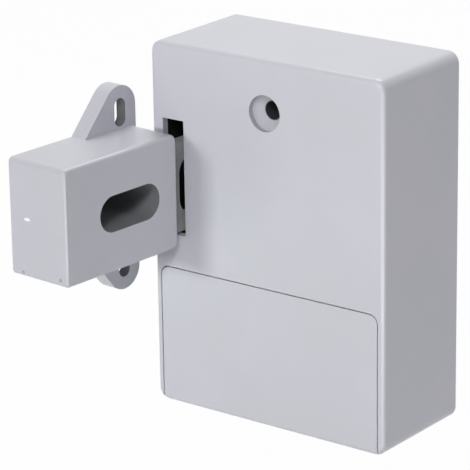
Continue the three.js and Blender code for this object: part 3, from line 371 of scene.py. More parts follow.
def softened(node, radius_mm):
    """A copy of a CAD node as a bmesh of whole faces, with every sharp edge rounded."""
    shape = bmesh.new()
    shape.from_mesh(nodes[node].data)
    bmesh.ops.remove_doubles(shape, verts=shape.verts, dist=WELD)
    bmesh.ops.dissolve_limit(shape, angle_limit=FLAT_ANGLE, verts=shape.verts, edges=shape.edges)
    sharp = [e for e in shape.edges if len(e.link_faces) == 2 and e.calc_face_angle() > SHARP_ANGLE]
    bmesh.ops.bevel(shape, geom=sharp, offset=radius_mm * MM, offset_type="OFFSET",
                    segments=EDGE_SEGMENTS, profile=0.5, affect="EDGES", clamp_overlap=True)
    return shape


MOULD_RADIUS_MM = 0.25
# For each node: its finish, and the radius of its edges in millimetres
soft_pieces = {
    "battery_cover": (grey_abs, MOULD_RADIUS_MM),
    "rear_plate": (grey_abs, MOULD_RADIUS_MM),
    "strike_tongue": (cast_zinc, 0.35),
    "lock_bolt": (drawn_steel, 0.15),
    "mechanism_bracket": (plain_abs_and_painted_shade, 0.2),
    "drive_gear": (acetal, 0.08),
    "motor_pinion": (acetal, 0.08),
    "contact_plus": (nickel_plate, 0.08),
    "contact_minus": (nickel_plate, 0.08),
    "contact_link_left": (nickel_plate, 0.08),
    "contact_link_right": (nickel_plate, 0.08),
    "circuit_board": (solder_mask, 0.1),
    "control_chip": (black_abs, 0.12),
    "reader_chip": (black_abs, 0.12),
    "motor_socket": (nylon, 0.2),
    "button_switch": (black_abs, 0.2),
    "gear_axle": (zinc_plate, 0.15),
}
for node, (finish, radius_mm) in soft_pieces.items():
    mesh = mesh_from(node, softened(node, radius_mm))
    show(f"{node}_soft", mesh, [finish], node)
    print(node, "faces:", len(mesh.polygons))

# %% [markdown]
# ## The housing and the painted shade inside
# Behind the keeper slot there is nothing but black. The faces within the walls and above the battery
# bay are painted matt black, as painted shade. The countersunk fixing hole takes a darker, duller grey,
# which is painted shade in its cone.

# %% Paint shade into the mechanism space
WALL_INSIDE_MM = 1.7
FIXING_HEAD_RADIUS_MM = 4.7
housing_low, housing_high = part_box("front_housing")
# The hole's middle, from the housing's left side, front face and base
FIXING_AXIS = housing_low + Vector((35, 0, 81.5)) * MM
spray_low = housing_low + Vector((1, 1, 1)) * WALL_INSIDE_MM * MM
spray_high = housing_high - Vector((1, 0, 1)) * WALL_INSIDE_MM * MM
spray_low.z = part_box("battery_cover")[1].z


def paint(mesh, index, reached):
    """Give the faces whose middles are reached the finish with this index."""
    faces = [face for face in mesh.polygons if reached(face.center)]
    for face in faces:
        face.material_index = index
    print(mesh.name, "faces painted:", len(faces), "of", len(mesh.polygons))


def in_mechanism_space(point):
    """Whether a point lies behind the walls and away from the fixing hole."""
    inside = all(low < place < high for low, place, high in zip(spray_low, point, spray_high))
    return inside and (point - FIXING_AXIS).xz.length > FIXING_HEAD_RADIUS_MM * MM


def in_fixing_hole(point):
    """Whether a point lies in the fixing hole, below its rounded rim."""
    below_rim = point.y > housing_low.y + MOULD_RADIUS_MM * MM
    return below_rim and (point - FIXING_AXIS).xz.length < FIXING_HEAD_RADIUS_MM * MM


housing_mesh = mesh_from("front_housing", softened("front_housing", MOULD_RADIUS_MM))
show("front_housing_soft", housing_mesh, [grey_abs, painted_shade_black, plain_abs_and_painted_shade], "front_housing")
# Painted shade: the mechanism space takes matt black.
paint(housing_mesh, 1, in_mechanism_space)
# Painted shade: the fixing hole's cone takes the darker, duller grey.
paint(housing_mesh, 2, in_fixing_hole)

# %% [markdown]
# ## The keeper's own frame
# In the photograph the keeper stands a little askew in the slot, so its places are easiest to give in
# its own directions. The joint that slides it out says which way its length runs, and its solids say
# where its rear face and its middle are.

# %% Find the keeper's directions and middle
slide = Vector(next(joint["axis"] for joint in frame["joints"] if joint["name"] == "keeper_slide"))
keeper_y = -slide.normalized()
keeper_z = Vector((0, 0, 1))
keeper_x = keeper_y.cross(keeper_z)
block_points = [vertex.co for vertex in nodes["keeper_housing"].data.vertices]
tongue_low, tongue_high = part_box("strike_tongue")


def span(points, direction):
    """The lowest and highest reach of points along a direction."""
    reaches = [point.dot(direction) for point in points]
    return min(reaches), max(reaches)


keeper_sides = span(block_points, keeper_x)
keeper_ends = span(block_points, keeper_y)
keeper_origin = (keeper_x * sum(keeper_sides) / 2 + keeper_y * keeper_ends[1]
                 + keeper_z * (tongue_low.z + tongue_high.z) / 2)
keeper_length = keeper_ends[1] - keeper_ends[0]
keeper_turn = Matrix((keeper_x, keeper_y, keeper_z)).transposed().to_4x4()
keeper_frame = Matrix.Translation(keeper_origin) @ keeper_turn


def on_keeper_front(x, z, depth=0.0):
    """A point on the keeper's front face, in millimetres from its middle, and deeper by depth."""
    return keeper_frame @ Vector((x * MM, depth * MM - keeper_length, z * MM))


print("keeper length, mm:", round(keeper_length / MM, 2))

# %% [markdown]
# ## The keeper block
# Its front face has two shallow dents near the lower corners, where pins pushed it out of the mould,
# and a small white scar left of its middle, where the plastic flowed in; its white is partly a painted
# highlight. The dents are cut with two spheres by a boolean, so they are real hollows.

# %% Cut the dents and round the keeper's edges
DENT_RADIUS_MM = 0.5
DENT_DEPTH_MM = 0.2
DENT_PLACES = ((-5.65, -13.7), (7.0, -13.1))
KEEPER_RADIUS_MM = 0.55
dent_sphere_mm = (DENT_RADIUS_MM ** 2 + DENT_DEPTH_MM ** 2) / (2 * DENT_DEPTH_MM)
spheres = bmesh.new()
for x, z in DENT_PLACES:
    middle = on_keeper_front(x, z, DENT_DEPTH_MM - dent_sphere_mm)
    bmesh.ops.create_uvsphere(spheres, u_segments=48, v_segments=48, radius=dent_sphere_mm * MM,
                              matrix=Matrix.Translation(middle))
cutter = linked("dent_cutter", mesh_from("dent_cutter", spheres))
keeper_shape = softened("keeper_housing", KEEPER_RADIUS_MM)
keeper = linked("keeper_blank", mesh_from("keeper_blank", keeper_shape))
dents = keeper.modifiers.new("dents", "BOOLEAN")
dents.operation = "DIFFERENCE"
dents.object = cutter
keeper_mesh = settled(keeper)
bpy.data.objects.remove(cutter)
# The keeper's darker grey is painted shade.
show("keeper_block", keeper_mesh, [keeper_painted_shade_abs, cored_painted_shade_abs, pin_mark_and_painted_shade_abs], "keeper_housing")

# %% [markdown]
# ### The well and the ear slots inside
# Cores in the tool formed the well and the two slots for screws. Their faces are painted a dark grey,
# as painted shade inside them. Each place is a box in the keeper's own millimetres, which stops just
# below the rounded rim: first its lowest corner, then its highest.

# %% Paint shade into the cored places
CORED_PLACES_MM = {
    "well": ((-9.0, -27.95, -4.75), (8.65, -6.65, 4.75)),
    "upper_slot": ((-7.2, -7.6, 15.4), (-4.9, -3.6, 23.0)),
    "lower_slot": ((-7.2, -7.6, -24.1), (-4.9, -3.6, -16.5)),
}


def cored(point):
    """Whether a point lies in one of the cored places."""
    place = keeper_frame.inverted() @ point / MM
    return any(all(low < reach < high for low, reach, high in zip(lowest, place, highest))
               for lowest, highest in CORED_PLACES_MM.values())


def in_dent(point):
    """Whether a point lies in one of the two dents."""
    return any((point - on_keeper_front(x, z)).length < DENT_RADIUS_MM * MM for x, z in DENT_PLACES)


# Painted shade: the well and the ear slots take the dark grey.
paint(keeper_mesh, 1, cored)
# Dull pin marks, darker as painted shade: the dents take this grey.
paint(keeper_mesh, 2, in_dent)

# %% [markdown]
# ### The scar of the gate
# The plastic was torn off where it flowed in, and left a flat bead. Its near-white colour is partly the
# torn plastic and partly a painted highlight. It is a sphere, squeezed to its three half lengths and
# turned with the keeper.

# %% Leave the scar
SCAR_PLACE = (-3.75, 0.2)
SCAR_MM = (1.05, 0.1, 0.4)
scar_shape = bmesh.new()
bmesh.ops.create_uvsphere(scar_shape, u_segments=24, v_segments=12, radius=MM,
                          matrix=Matrix.Diagonal((*SCAR_MM, 1)))
scar_shape.transform(Matrix.Translation(on_keeper_front(*SCAR_PLACE)) @ keeper_turn)
# Painted highlight, in part: the scar's near-white colour.
dress("gate_scar", mesh_from("gate_scar", scar_shape), [torn_and_painted_highlight_abs], "keeper_housing")
print("scar, mm:", [2 * half for half in SCAR_MM])

# %% [markdown]
# ## Round pieces on a lathe
# Cells, motor, button, buzzer, capacitor and screws are all round. Drawing half of their outline and
# spinning it about an axis, as a lathe does, gives every step, groove and rounded rim at once. Each
# outline is a list of radius and height in millimetres, and a frame says where its axis points. Such a
# frame stands at the end of the piece's CAD box.

# %% Spin outlines into round pieces
ROUND_STEPS = 48
X, Y = 0, 1


def facing(direction, place):
    """A frame at a place whose Z axis points in a direction."""
    return Matrix.Translation(place) @ Vector(direction).to_track_quat("Z", "Y").to_matrix().to_4x4()


def end_of(node, axis, side):
    """The middle of the face of a node's box that lies at one side, -1 or 1, of an axis."""
    low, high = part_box(node)
    middle = (low + high) / 2
    middle[axis] = (high if side > 0 else low)[axis]
    return middle


def lathe(outline, place_frame, finish_of=None, steps=ROUND_STEPS):
    """Spin an outline about its axis. finish_of picks a finish's number from a face's radius and height."""
    shape = bmesh.new()
    corners = [shape.verts.new((radius * MM, 0, height * MM)) for radius, height in outline]
    edges = [shape.edges.new(pair) for pair in zip(corners, corners[1:])]
    bmesh.ops.spin(shape, geom=corners + edges, cent=(0, 0, 0), axis=(0, 0, 1), angle=2 * math.pi,
                   steps=steps)
    bmesh.ops.remove_doubles(shape, verts=shape.verts, dist=WELD)
    bmesh.ops.recalc_face_normals(shape, faces=shape.faces)
    for face in shape.faces if finish_of else ():
        middle = face.calc_center_median() / MM
        face.material_index = finish_of(math.hypot(middle.x, middle.y), middle.z)
    shape.transform(place_frame)
    return shape


# %% [markdown]
# ## Three cells
# Each cell is a steel can in a printed film. The film folds over both shoulders and leaves the steel
# bare in the middle, with a raised button at the plus end. A plain silver band marks that end, so the
# three cells show that they lie head to tail.

# %% Make the cells
CELL_NUB_MM = 0.8
NUB_RADIUS_MM = 1.9
CELL_BAND_MM = 11.0
FILM_EDGE_MM = 4.2
for index, plus_side in enumerate((-1, 1, -1), start=1):
    node = f"battery_cell_{index}"
    low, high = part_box(node)
    radius, length = (high.z - low.z) / 2 / MM, (high.x - low.x) / MM
    top, foot = -CELL_NUB_MM, -length
    outline = [
        (0, 0), (1.55, 0), (1.8, -0.12), (NUB_RADIUS_MM, -0.35), (NUB_RADIUS_MM, top - 0.1),
        (FILM_EDGE_MM, top - 0.1), (FILM_EDGE_MM, top), (4.8, top), (5.1, top - 0.12), (radius, top - 0.45),
        (radius, foot + 0.45), (5.1, foot + 0.12), (4.8, foot), (FILM_EDGE_MM, foot),
        (FILM_EDGE_MM, foot + 0.15), (0, foot + 0.15)]
    shape = lathe(outline, facing((plus_side, 0, 0), end_of(node, X, plus_side)),
                  lambda reach, height: 2 if reach < FILM_EDGE_MM else int(height > -CELL_BAND_MM))
    show(f"{node}_film", mesh_from(node, shape), [cell_film, cell_band, nickel_plate], node)
    print(node, "radius and length, mm:", round(radius, 2), round(length, 2))

# %% [markdown]
# ## The motor
# The motor is a drawn steel can with a rolled rear rim, a bearing boss in front and a plastic end
# cap behind. It lies along Y, as the next round pieces do, so one helper reads a piece's radius and
# length from the CAD box.

# %% Turn the motor
SHAFT_RADIUS_MM = 0.75
CAN_LENGTH_MM = 12.1
CAP_RADIUS_MM = 5.6
CAP_STEP_MM = 0.25
CAP_MARGIN_MM = 0.01


def round_size(node):
    """A round node's radius and its length along Y, in millimetres."""
    low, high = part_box(node)
    return (high.x - low.x) / 2 / MM, (high.y - low.y) / MM


can_mm, motor_mm = round_size("motor")
motor_back = end_of("motor", Y, 1)
motor_outline = [
    (0, 0), (CAP_RADIUS_MM, 0), (CAP_RADIUS_MM, -CAP_STEP_MM), (can_mm - 0.9, -CAP_STEP_MM),
    (can_mm - 0.3, -0.4), (can_mm, -0.9), (can_mm, 1.0 - CAN_LENGTH_MM),
    (can_mm - 0.3, 0.6 - CAN_LENGTH_MM), (can_mm - 0.9, 0.4 - CAN_LENGTH_MM),
    (2.6, 0.4 - CAN_LENGTH_MM), (2.4, -CAN_LENGTH_MM), (SHAFT_RADIUS_MM, -CAN_LENGTH_MM),
    (SHAFT_RADIUS_MM, 0.2 - motor_mm), (SHAFT_RADIUS_MM - 0.2, -motor_mm), (0, -motor_mm)]
shape = lathe(motor_outline, facing((0, 1, 0), motor_back), lambda reach, height: int(
    reach < CAP_RADIUS_MM and height > -CAP_STEP_MM - CAP_MARGIN_MM))
show("motor_can", mesh_from("motor_can", shape), [nickel_plate, black_abs], "motor")
print("motor radius and length, mm:", round(can_mm, 2), round(motor_mm, 2))

# %% [markdown]
# ## Buzzer and capacitor
# The buzzer is a black cup with a sound hole in its top. The capacitor is a metal can in a black film.
# The film leaves the top bare, and a crimp runs round the can near its foot.

# %% Turn the buzzer and the capacitor
FILM_FOLD_MM = 0.2
rim_mm, tall_mm = round_size("buzzer")
buzzer_outline = [
    (0, -1.2), (0.8, -1.2), (0.8, -0.1), (0.9, 0), (rim_mm - 0.5, 0), (rim_mm, -0.5), (rim_mm, -tall_mm),
    (0, -tall_mm)]
shape = lathe(buzzer_outline, facing((0, 1, 0), end_of("buzzer", Y, 1)))
show("buzzer_case", mesh_from("buzzer_case", shape), [black_abs], "buzzer")
print("buzzer radius and height, mm:", round(rim_mm, 2), round(tall_mm, 2))

rim_mm, tall_mm = round_size("capacitor")
capacitor_outline = [
    (0, 0), (rim_mm - 0.35, 0), (rim_mm - 0.1, -0.1), (rim_mm, -0.35), (rim_mm, 1.6 - tall_mm),
    (rim_mm - 0.25, 1.3 - tall_mm), (rim_mm, 1.0 - tall_mm), (rim_mm, 0.1 - tall_mm),
    (rim_mm - 0.1, -tall_mm), (0, -tall_mm)]
shape = lathe(capacitor_outline, facing((0, 1, 0), end_of("capacitor", Y, 1)),
              lambda reach, height: int(reach < rim_mm - FILM_FOLD_MM and height > -FILM_FOLD_MM))
show("capacitor_can", mesh_from("capacitor_can", shape), [black_abs, nickel_plate], "capacitor")
print("capacitor radius and height, mm:", round(rim_mm, 2), round(tall_mm, 2))

# %% [markdown]
# ## The button
# A press on the button in the battery bay teaches the lock a new card. Its top is dished for a
# fingertip, and a flange at its foot keeps it from falling out.

# %% Turn the button
BUTTON_RADIUS_MM = 2.0
FLANGE_MM = 0.6
flange_mm, tall_mm = round_size("program_button")
button_outline = [
    (0, -0.25), (1.0, -0.17), (1.5, -0.05), (1.75, 0), (BUTTON_RADIUS_MM, -0.25),
    (BUTTON_RADIUS_MM, FLANGE_MM - tall_mm), (flange_mm, FLANGE_MM - tall_mm), (flange_mm, -tall_mm),
    (0, -tall_mm)]
shape = lathe(button_outline, facing((0, -1, 0), end_of("program_button", Y, -1)))
show("button_cap", mesh_from("button_cap", shape), [black_abs], "program_button")
print("button radius and height, mm:", BUTTON_RADIUS_MM, round(tall_mm, 2))

# %% [markdown]
# ### A dark sleeve in the screw hole
# The hole in the front is nearly black inside. A dark sleeve put in its bore is painted shade there.
# It is a plain ring from the cone to the back.

# %% Line the screw hole with painted shade
SLEEVE_OUTER_MM = 2.48
SLEEVE_INNER_MM = 2.3
SLEEVE_FRONT_MM = 3.8
SLEEVE_BACK_MM = 31.8
sleeve_mm = SLEEVE_BACK_MM - SLEEVE_FRONT_MM
sleeve_outline = [
    (SLEEVE_INNER_MM, 0), (SLEEVE_OUTER_MM, 0), (SLEEVE_OUTER_MM, sleeve_mm), (SLEEVE_INNER_MM, sleeve_mm),
    (SLEEVE_INNER_MM, 0)]
sleeve = lathe(sleeve_outline, facing((0, 1, 0), FIXING_AXIS + Vector((0, SLEEVE_FRONT_MM * MM, 0))))
# The sleeve is painted shade: a dark ring that rides on the housing's body.
dress("hole_sleeve", mesh_from("hole_sleeve", sleeve), [painted_shade_sleeve_abs], "front_housing")
print("sleeve length, mm:", sleeve_mm)

# %% [markdown]
# ## Screws, set in place by Geometry Nodes
# Eleven screws hold the lock and the keeper together. They are copies, so Geometry Nodes set one on each
# point, turned by that point's own angles. The tree ends in Realize Instances and Set Material, and the
# result is turned into a plain mesh, because an export drops instances. The helpers here also serve the
# springs, the antenna and the wires.

# %% A tree that sets copies on points


def start_tree(name, sizes):
    """A geometry tree with named inputs. Returns the tree, its input sockets and its output node."""
    tree = bpy.data.node_groups.new(name, "GeometryNodeTree")
    tree.interface.new_socket("Places", in_out="INPUT", socket_type="NodeSocketGeometry")
    for label, kind in sizes.items():
        tree.interface.new_socket(label, in_out="INPUT", socket_type=f"NodeSocket{kind}")
    tree.interface.new_socket("Shape", in_out="OUTPUT", socket_type="NodeSocketGeometry")
    return tree, add(tree, "NodeGroupInput").outputs, add(tree, "NodeGroupOutput")


def end_tree(tree, shape, sizes, end):
    """Close a tree: make instances real, shade them smooth and give them their material."""
    real = add(tree, "GeometryNodeRealizeInstances", {"Geometry": shape})
    smooth = add(tree, "GeometryNodeSetShadeSmooth", {"Geometry": real.outputs["Geometry"]})
    dressed = add(tree, "GeometryNodeSetMaterial", {
        "Geometry": smooth.outputs["Geometry"], "Material": sizes["Material"]})
    fill(tree, end, {"Shape": dressed.outputs["Geometry"]})


def on_places(tree, inputs, shape):
    """Set a shape on every place, each with its own turn."""
    turn = add(tree, "GeometryNodeInputNamedAttribute", {"Name": "turn"}, data_type="FLOAT_VECTOR")
    spread = add(tree, "GeometryNodeInstanceOnPoints", {
        "Points": inputs["Places"], "Instance": shape, "Rotation": turn.outputs["Attribute"]})
    return spread.outputs["Instances"]


def swept(tree, inputs, line, sides):
    """Sweep a round wire along a line. An open line gets caps."""
    section = add(tree, "GeometryNodeCurvePrimitiveCircle", {
        "Resolution": sides, "Radius": inputs["Wire Radius"]})
    wire = add(tree, "GeometryNodeCurveToMesh", {
        "Curve": line, "Profile Curve": section.outputs["Curve"], "Fill Caps": True})
    return wire.outputs["Mesh"]


def grown(name, tree, places, sizes, turns=(), edges=()):
    """The plain mesh that a tree grows on points. Each point may have its own turn."""
    seeds = bpy.data.meshes.new(name)
    seeds.from_pydata(places, edges, [])
    turn = seeds.attributes.new("turn", "FLOAT_VECTOR", "POINT")
    for point, angles in zip(turn.data, turns):
        point.vector = angles
    made = linked(name, seeds)
    growth = made.modifiers.new("growth", "NODES")
    growth.node_group = tree
    for socket in tree.interface.items_tree:
        if socket.in_out == "INPUT" and socket.name in sizes:
            growth[socket.identifier] = sizes[socket.name]
    return settled(made)


copies, inputs, end = start_tree("copies_on_points", {"Copy": "Object", "Material": "Material"})
original = add(copies, "GeometryNodeObjectInfo", {"Object": inputs["Copy"], "As Instance": True})
end_tree(copies, on_places(copies, inputs, original.outputs["Geometry"]), inputs, end)
print("tree:", copies.name, "nodes:", len(copies.nodes))

# %% [markdown]
# ### A screw on the lathe
# A screw is turned with ridges for its thread, which cost far fewer faces than a real helix and look the
# same at this size. Two booleans cut the cross in its head.

# %% A function for one screw
HEAD_HEIGHT_MM = 1.2
CROSS_WIDTH_MM = 0.5
CROSS_SHARE = 1.25
CROSS_DEPTH_MM = 0.75
THREAD_PITCH_MM = 0.9
THREAD_DEPTH_MM = 0.22
SCREW_STEPS = 24


def screw(name, head_mm, shank_mm, length_mm):
    """A pan-head screw with a cross in its head, along Z, with its head's top at the origin."""
    outline = [
        (0, 0), (head_mm * 0.55, -0.04), (head_mm * 0.85, -0.2), (head_mm, -0.55),
        (head_mm, -HEAD_HEIGHT_MM), (shank_mm, -HEAD_HEIGHT_MM)]
    ridge = HEAD_HEIGHT_MM + THREAD_PITCH_MM
    while ridge < length_mm - 2 * shank_mm:
        outline += [(shank_mm, -ridge), (shank_mm - THREAD_DEPTH_MM, -ridge - THREAD_PITCH_MM / 2)]
        ridge += THREAD_PITCH_MM
    outline += [(shank_mm, -length_mm + shank_mm), (0, -length_mm)]
    made = linked(name, mesh_from(name, lathe(outline, Matrix(), steps=SCREW_STEPS)))
    cross_mm = CROSS_SHARE * head_mm
    for across, along in ((cross_mm, CROSS_WIDTH_MM), (CROSS_WIDTH_MM, cross_mm)):
        size = Matrix.Diagonal((across * MM, along * MM, 2 * CROSS_DEPTH_MM * MM, 1))
        arm = bmesh.new()
        bmesh.ops.create_cube(arm, size=1, matrix=size)
        slot = made.modifiers.new("cross", "BOOLEAN")
        slot.object = linked(f"{name}_bar", mesh_from(f"{name}_bar", arm))
    return made


# %% [markdown]
# ### The four kinds of screw
# The kinds differ in shank and length, so each has its own screw as a pattern for the copies. The
# pattern goes when its copies are made.

# %% Set the screws in their places
HEAD_RADIUS_MM = 2.2
along_back = Vector((0, 1, 0))
# For each kind: how many, which way the heads face, shank radius and length
screw_sets = {
    "rear_screw": (4, along_back, 1.1, 9.2),
    "bracket_screw": (3, along_back, 1.1, 9.2),
    "board_screw": (2, along_back, 1.1, 6.8),
    "tongue_screw": (2, -keeper_x, 0.9, 6.2),
}
for kind, (count, head_way, shank_mm, length_mm) in screw_sets.items():
    name = f"{kind}s"
    screw_nodes = [f"{kind}_{index}" for index in range(1, count + 1)]
    template = screw(name, HEAD_RADIUS_MM, shank_mm, length_mm)
    boxes = [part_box(node) for node in screw_nodes]
    tops = [(low + high) / 2 + head_way * length_mm * MM / 2 for low, high in boxes]
    angles = [head_way.to_track_quat("Z", "Y").to_euler()] * len(tops)
    mesh = grown(f"{name}_set", copies, tops, {"Copy": template, "Material": zinc_plate}, angles)
    show(f"{name}_set", mesh, [zinc_plate], *screw_nodes)
    for used in [slot.object for slot in template.modifiers] + [template]:
        bpy.data.objects.remove(used)
    print(name, "copies:", len(tops), "faces:", len(mesh.polygons))

# %% [markdown]
# ## Coiled springs
# Each cell is pressed by a tapered coil of spring wire, wide at the plate and narrow at the cell. It
# follows a rule, so Geometry Nodes draw it: a spiral with two radii, swept by a round section. The
# ends are capped, so each coil is a closed body.

# %% A tree that winds a coil on each point
SPRING_WIRE_RADIUS_MM = 0.25
SPRING_TURNS = 4.0
SPRING_WIDE_MM = 3.2
SPRING_NARROW_MM = 2.0
coil, inputs, end = start_tree("coil_on_points", {
    "Turns": "Float", "Wide Radius": "Float", "Narrow Radius": "Float", "Height": "Float",
    "Wire Radius": "Float", "Material": "Material"})
turns_line = add(coil, "GeometryNodeCurveSpiral", {
    "Resolution": 32, "Rotations": inputs["Turns"], "Start Radius": inputs["Wide Radius"],
    "End Radius": inputs["Narrow Radius"], "Height": inputs["Height"]})
wire = swept(coil, inputs, turns_line.outputs["Curve"], sides=10)
end_tree(coil, on_places(coil, inputs, wire), inputs, end)
print("tree:", coil.name, "nodes:", len(coil.nodes))

# %% [markdown]
# ### Where the springs stand
# The cells lie head to tail, so the springs stand at the right, the left and the right. Each starts on
# its plate, half the wire's thickness away from it, and points to its cell.

# %% Wind the three springs
for index, plate_side in enumerate((1, -1, 1), start=1):
    node = f"contact_spring_{index}"
    low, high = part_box(node)
    way = Vector((-plate_side, 0, 0))
    start = end_of(node, X, plate_side) + way * SPRING_WIRE_RADIUS_MM * MM
    sizes = {
        "Turns": SPRING_TURNS, "Wide Radius": (SPRING_WIDE_MM - SPRING_WIRE_RADIUS_MM) * MM,
        "Narrow Radius": (SPRING_NARROW_MM - SPRING_WIRE_RADIUS_MM) * MM,
        "Wire Radius": SPRING_WIRE_RADIUS_MM * MM, "Material": nickel_plate,
        "Height": (high.x - low.x) - 2 * SPRING_WIRE_RADIUS_MM * MM}
    mesh = grown(f"{node}_wire", coil, [start], sizes, [way.to_track_quat("Z", "Y").to_euler()])
    show(f"{node}_wire", mesh, [nickel_plate], node)
    print(node, "faces:", len(mesh.polygons))

# %% [markdown]
# ## The antenna winding
# The reader's antenna is a flat coil of enamelled wire around a rectangle with round corners. Each
# loop is the same path, a little smaller than the last, so the node tree is built by a loop too:
# rounded rectangles at even steps, swept by the wire's section and stacked in layers. Real wire here
# would be near 0.2 mm thick. It is drawn at 0.4 mm, so that the strands can be told apart.

# %% A tree that winds the antenna
ANTENNA_WIRE_RADIUS_MM = 0.2
ANTENNA_STEP_MM = 0.42
ANTENNA_BAND_MM = 4.0
low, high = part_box("antenna_coil")
loops = int(ANTENNA_BAND_MM / ANTENNA_STEP_MM)
layers = int((high.y - low.y) / MM / ANTENNA_STEP_MM)
winding, inputs, end = start_tree("winding_of_loops", {
    "Width": "Float", "Height": "Float", "Step": "Float", "Corner": "Float", "Wire Radius": "Float",
    "Layers": "Int", "Material": "Material"})
# Each loop loses one step on every side, and its corners lose one step of radius.
steps_lost = {"Width": 2.0, "Height": 2.0, "Corner": 1.0}
strands = []
for loop in range(loops):
    size_of = {}
    for label, share in steps_lost.items():
        lost = add(winding, "ShaderNodeMath", {0: inputs["Step"], 1: share * loop}, operation="MULTIPLY")
        size_of[label] = add(winding, "ShaderNodeMath", {
            0: inputs[label], 1: lost.outputs[0]}, operation="SUBTRACT").outputs[0]
    frame_line = add(winding, "GeometryNodeCurvePrimitiveQuadrilateral", {
        "Width": size_of["Width"], "Height": size_of["Height"]})
    rounded = add(winding, "GeometryNodeFilletCurve", {
        "Curve": frame_line.outputs["Curve"], "Count": 6, "Radius": size_of["Corner"]}, mode="POLY")
    strands.append(rounded.outputs["Curve"])
band = add(winding, "GeometryNodeJoinGeometry", {"Geometry": strands})
wire = swept(winding, inputs, band.outputs["Geometry"], sides=8)
lift = add(winding, "ShaderNodeCombineXYZ", {"Z": inputs["Step"]})
rows = add(winding, "GeometryNodeMeshLine", {
    "Count": inputs["Layers"], "Offset": lift.outputs["Vector"]}, mode="OFFSET")
stack = add(winding, "GeometryNodeInstanceOnPoints", {"Points": rows.outputs["Mesh"], "Instance": wire})
whole = add(winding, "GeometryNodeGeometryToInstance", {"Geometry": stack.outputs["Instances"]})
end_tree(winding, on_places(winding, inputs, whole.outputs["Instances"]), inputs, end)
print("antenna loops:", loops, "layers:", layers)

# %% [markdown]
# ### The antenna in its place
# The tree winds upwards in its own frame. The band lies against the rear plate, so a quarter turn about
# X sets it parallel to the plate, and it starts at the back of its box.

# %% Wind the antenna
ANTENNA_CORNER_MM = 4.2
wire_mm = 2 * ANTENNA_WIRE_RADIUS_MM
antenna_back = end_of("antenna_coil", Y, 1) - Vector((0, ANTENNA_WIRE_RADIUS_MM * MM, 0))
sizes = {
    "Width": (high.x - low.x) - wire_mm * MM, "Height": (high.z - low.z) - wire_mm * MM,
    "Step": ANTENNA_STEP_MM * MM, "Corner": ANTENNA_CORNER_MM * MM,
    "Wire Radius": ANTENNA_WIRE_RADIUS_MM * MM, "Layers": layers, "Material": enamelled_copper}
mesh = grown("antenna_winding", winding, [antenna_back], sizes, [(math.pi / 2, 0, 0)])
show("antenna_winding", mesh, [enamelled_copper], "antenna_coil")
print("antenna faces:", len(mesh.polygons))

# %% [markdown]
# ## Wires to the motor
# Two short jacketed wires run from the motor's end cap down to its socket. A wire follows a path, so
# the tree turns a few points into a smooth curve and sweeps a round section along it.

# %% A tree that draws a wire along points
WIRE_SAMPLES = 40
path_wire, inputs, end = start_tree("wire_along_points", {"Wire Radius": "Float", "Material": "Material"})
path = add(path_wire, "GeometryNodeMeshToCurve", {"Mesh": inputs["Places"]})
bent = add(path_wire, "GeometryNodeCurveSplineType", {
    "Curve": path.outputs["Curve"]}, spline_type="CATMULL_ROM")
even = add(path_wire, "GeometryNodeResampleCurve", {
    "Curve": bent.outputs["Curve"], "Count": WIRE_SAMPLES})
end_tree(path_wire, swept(path_wire, inputs, even.outputs["Curve"], sides=12), inputs, end)
print("tree:", path_wire.name, "nodes:", len(path_wire.nodes))

# %% [markdown]
# ### The two wires
# Each wire leaves the motor straight down, bends across and goes straight into the socket. Five points
# are enough for that: both ends, the end of each straight, and one half way.

# %% Lay the two wires
LEAD_RADIUS_MM = 0.7
LEAD_STRAIGHT_MM = 4.2
LEAD_SPACING_MM = 2.2
socket_low, socket_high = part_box("motor_socket")
leads = {"motor_lead_red": (-1, red_vinyl), "motor_lead_black": (1, black_vinyl)}
for node, (side, finish) in leads.items():
    low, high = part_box(node)
    top = Vector((motor_back.x + side * LEAD_SPACING_MM * MM / 2, high.y - LEAD_RADIUS_MM * MM, high.z))
    foot = Vector(((socket_low.x + socket_high.x) / 2 + side * LEAD_SPACING_MM * MM / 2,
                   low.y + LEAD_RADIUS_MM * MM, low.z))
    drop = Vector((0, 0, LEAD_STRAIGHT_MM * MM))
    stops = [top, top - drop, (top + foot) / 2, foot + drop, foot]
    links = list(zip(range(len(stops)), range(1, len(stops))))
    sizes = {"Wire Radius": LEAD_RADIUS_MM * MM, "Material": finish}
    mesh = grown(f"{node}_jacket", path_wire, stops, sizes, edges=links)
    show(f"{node}_jacket", mesh, [finish], node)
    print(node, "faces:", len(mesh.polygons))

# %% [markdown]
# ## Legs of the chips
# Both chips stand on bent legs along two sides. One leg is a short bar with a step in it. The tree
# that set the screws sets the legs as well, half of them turned round.

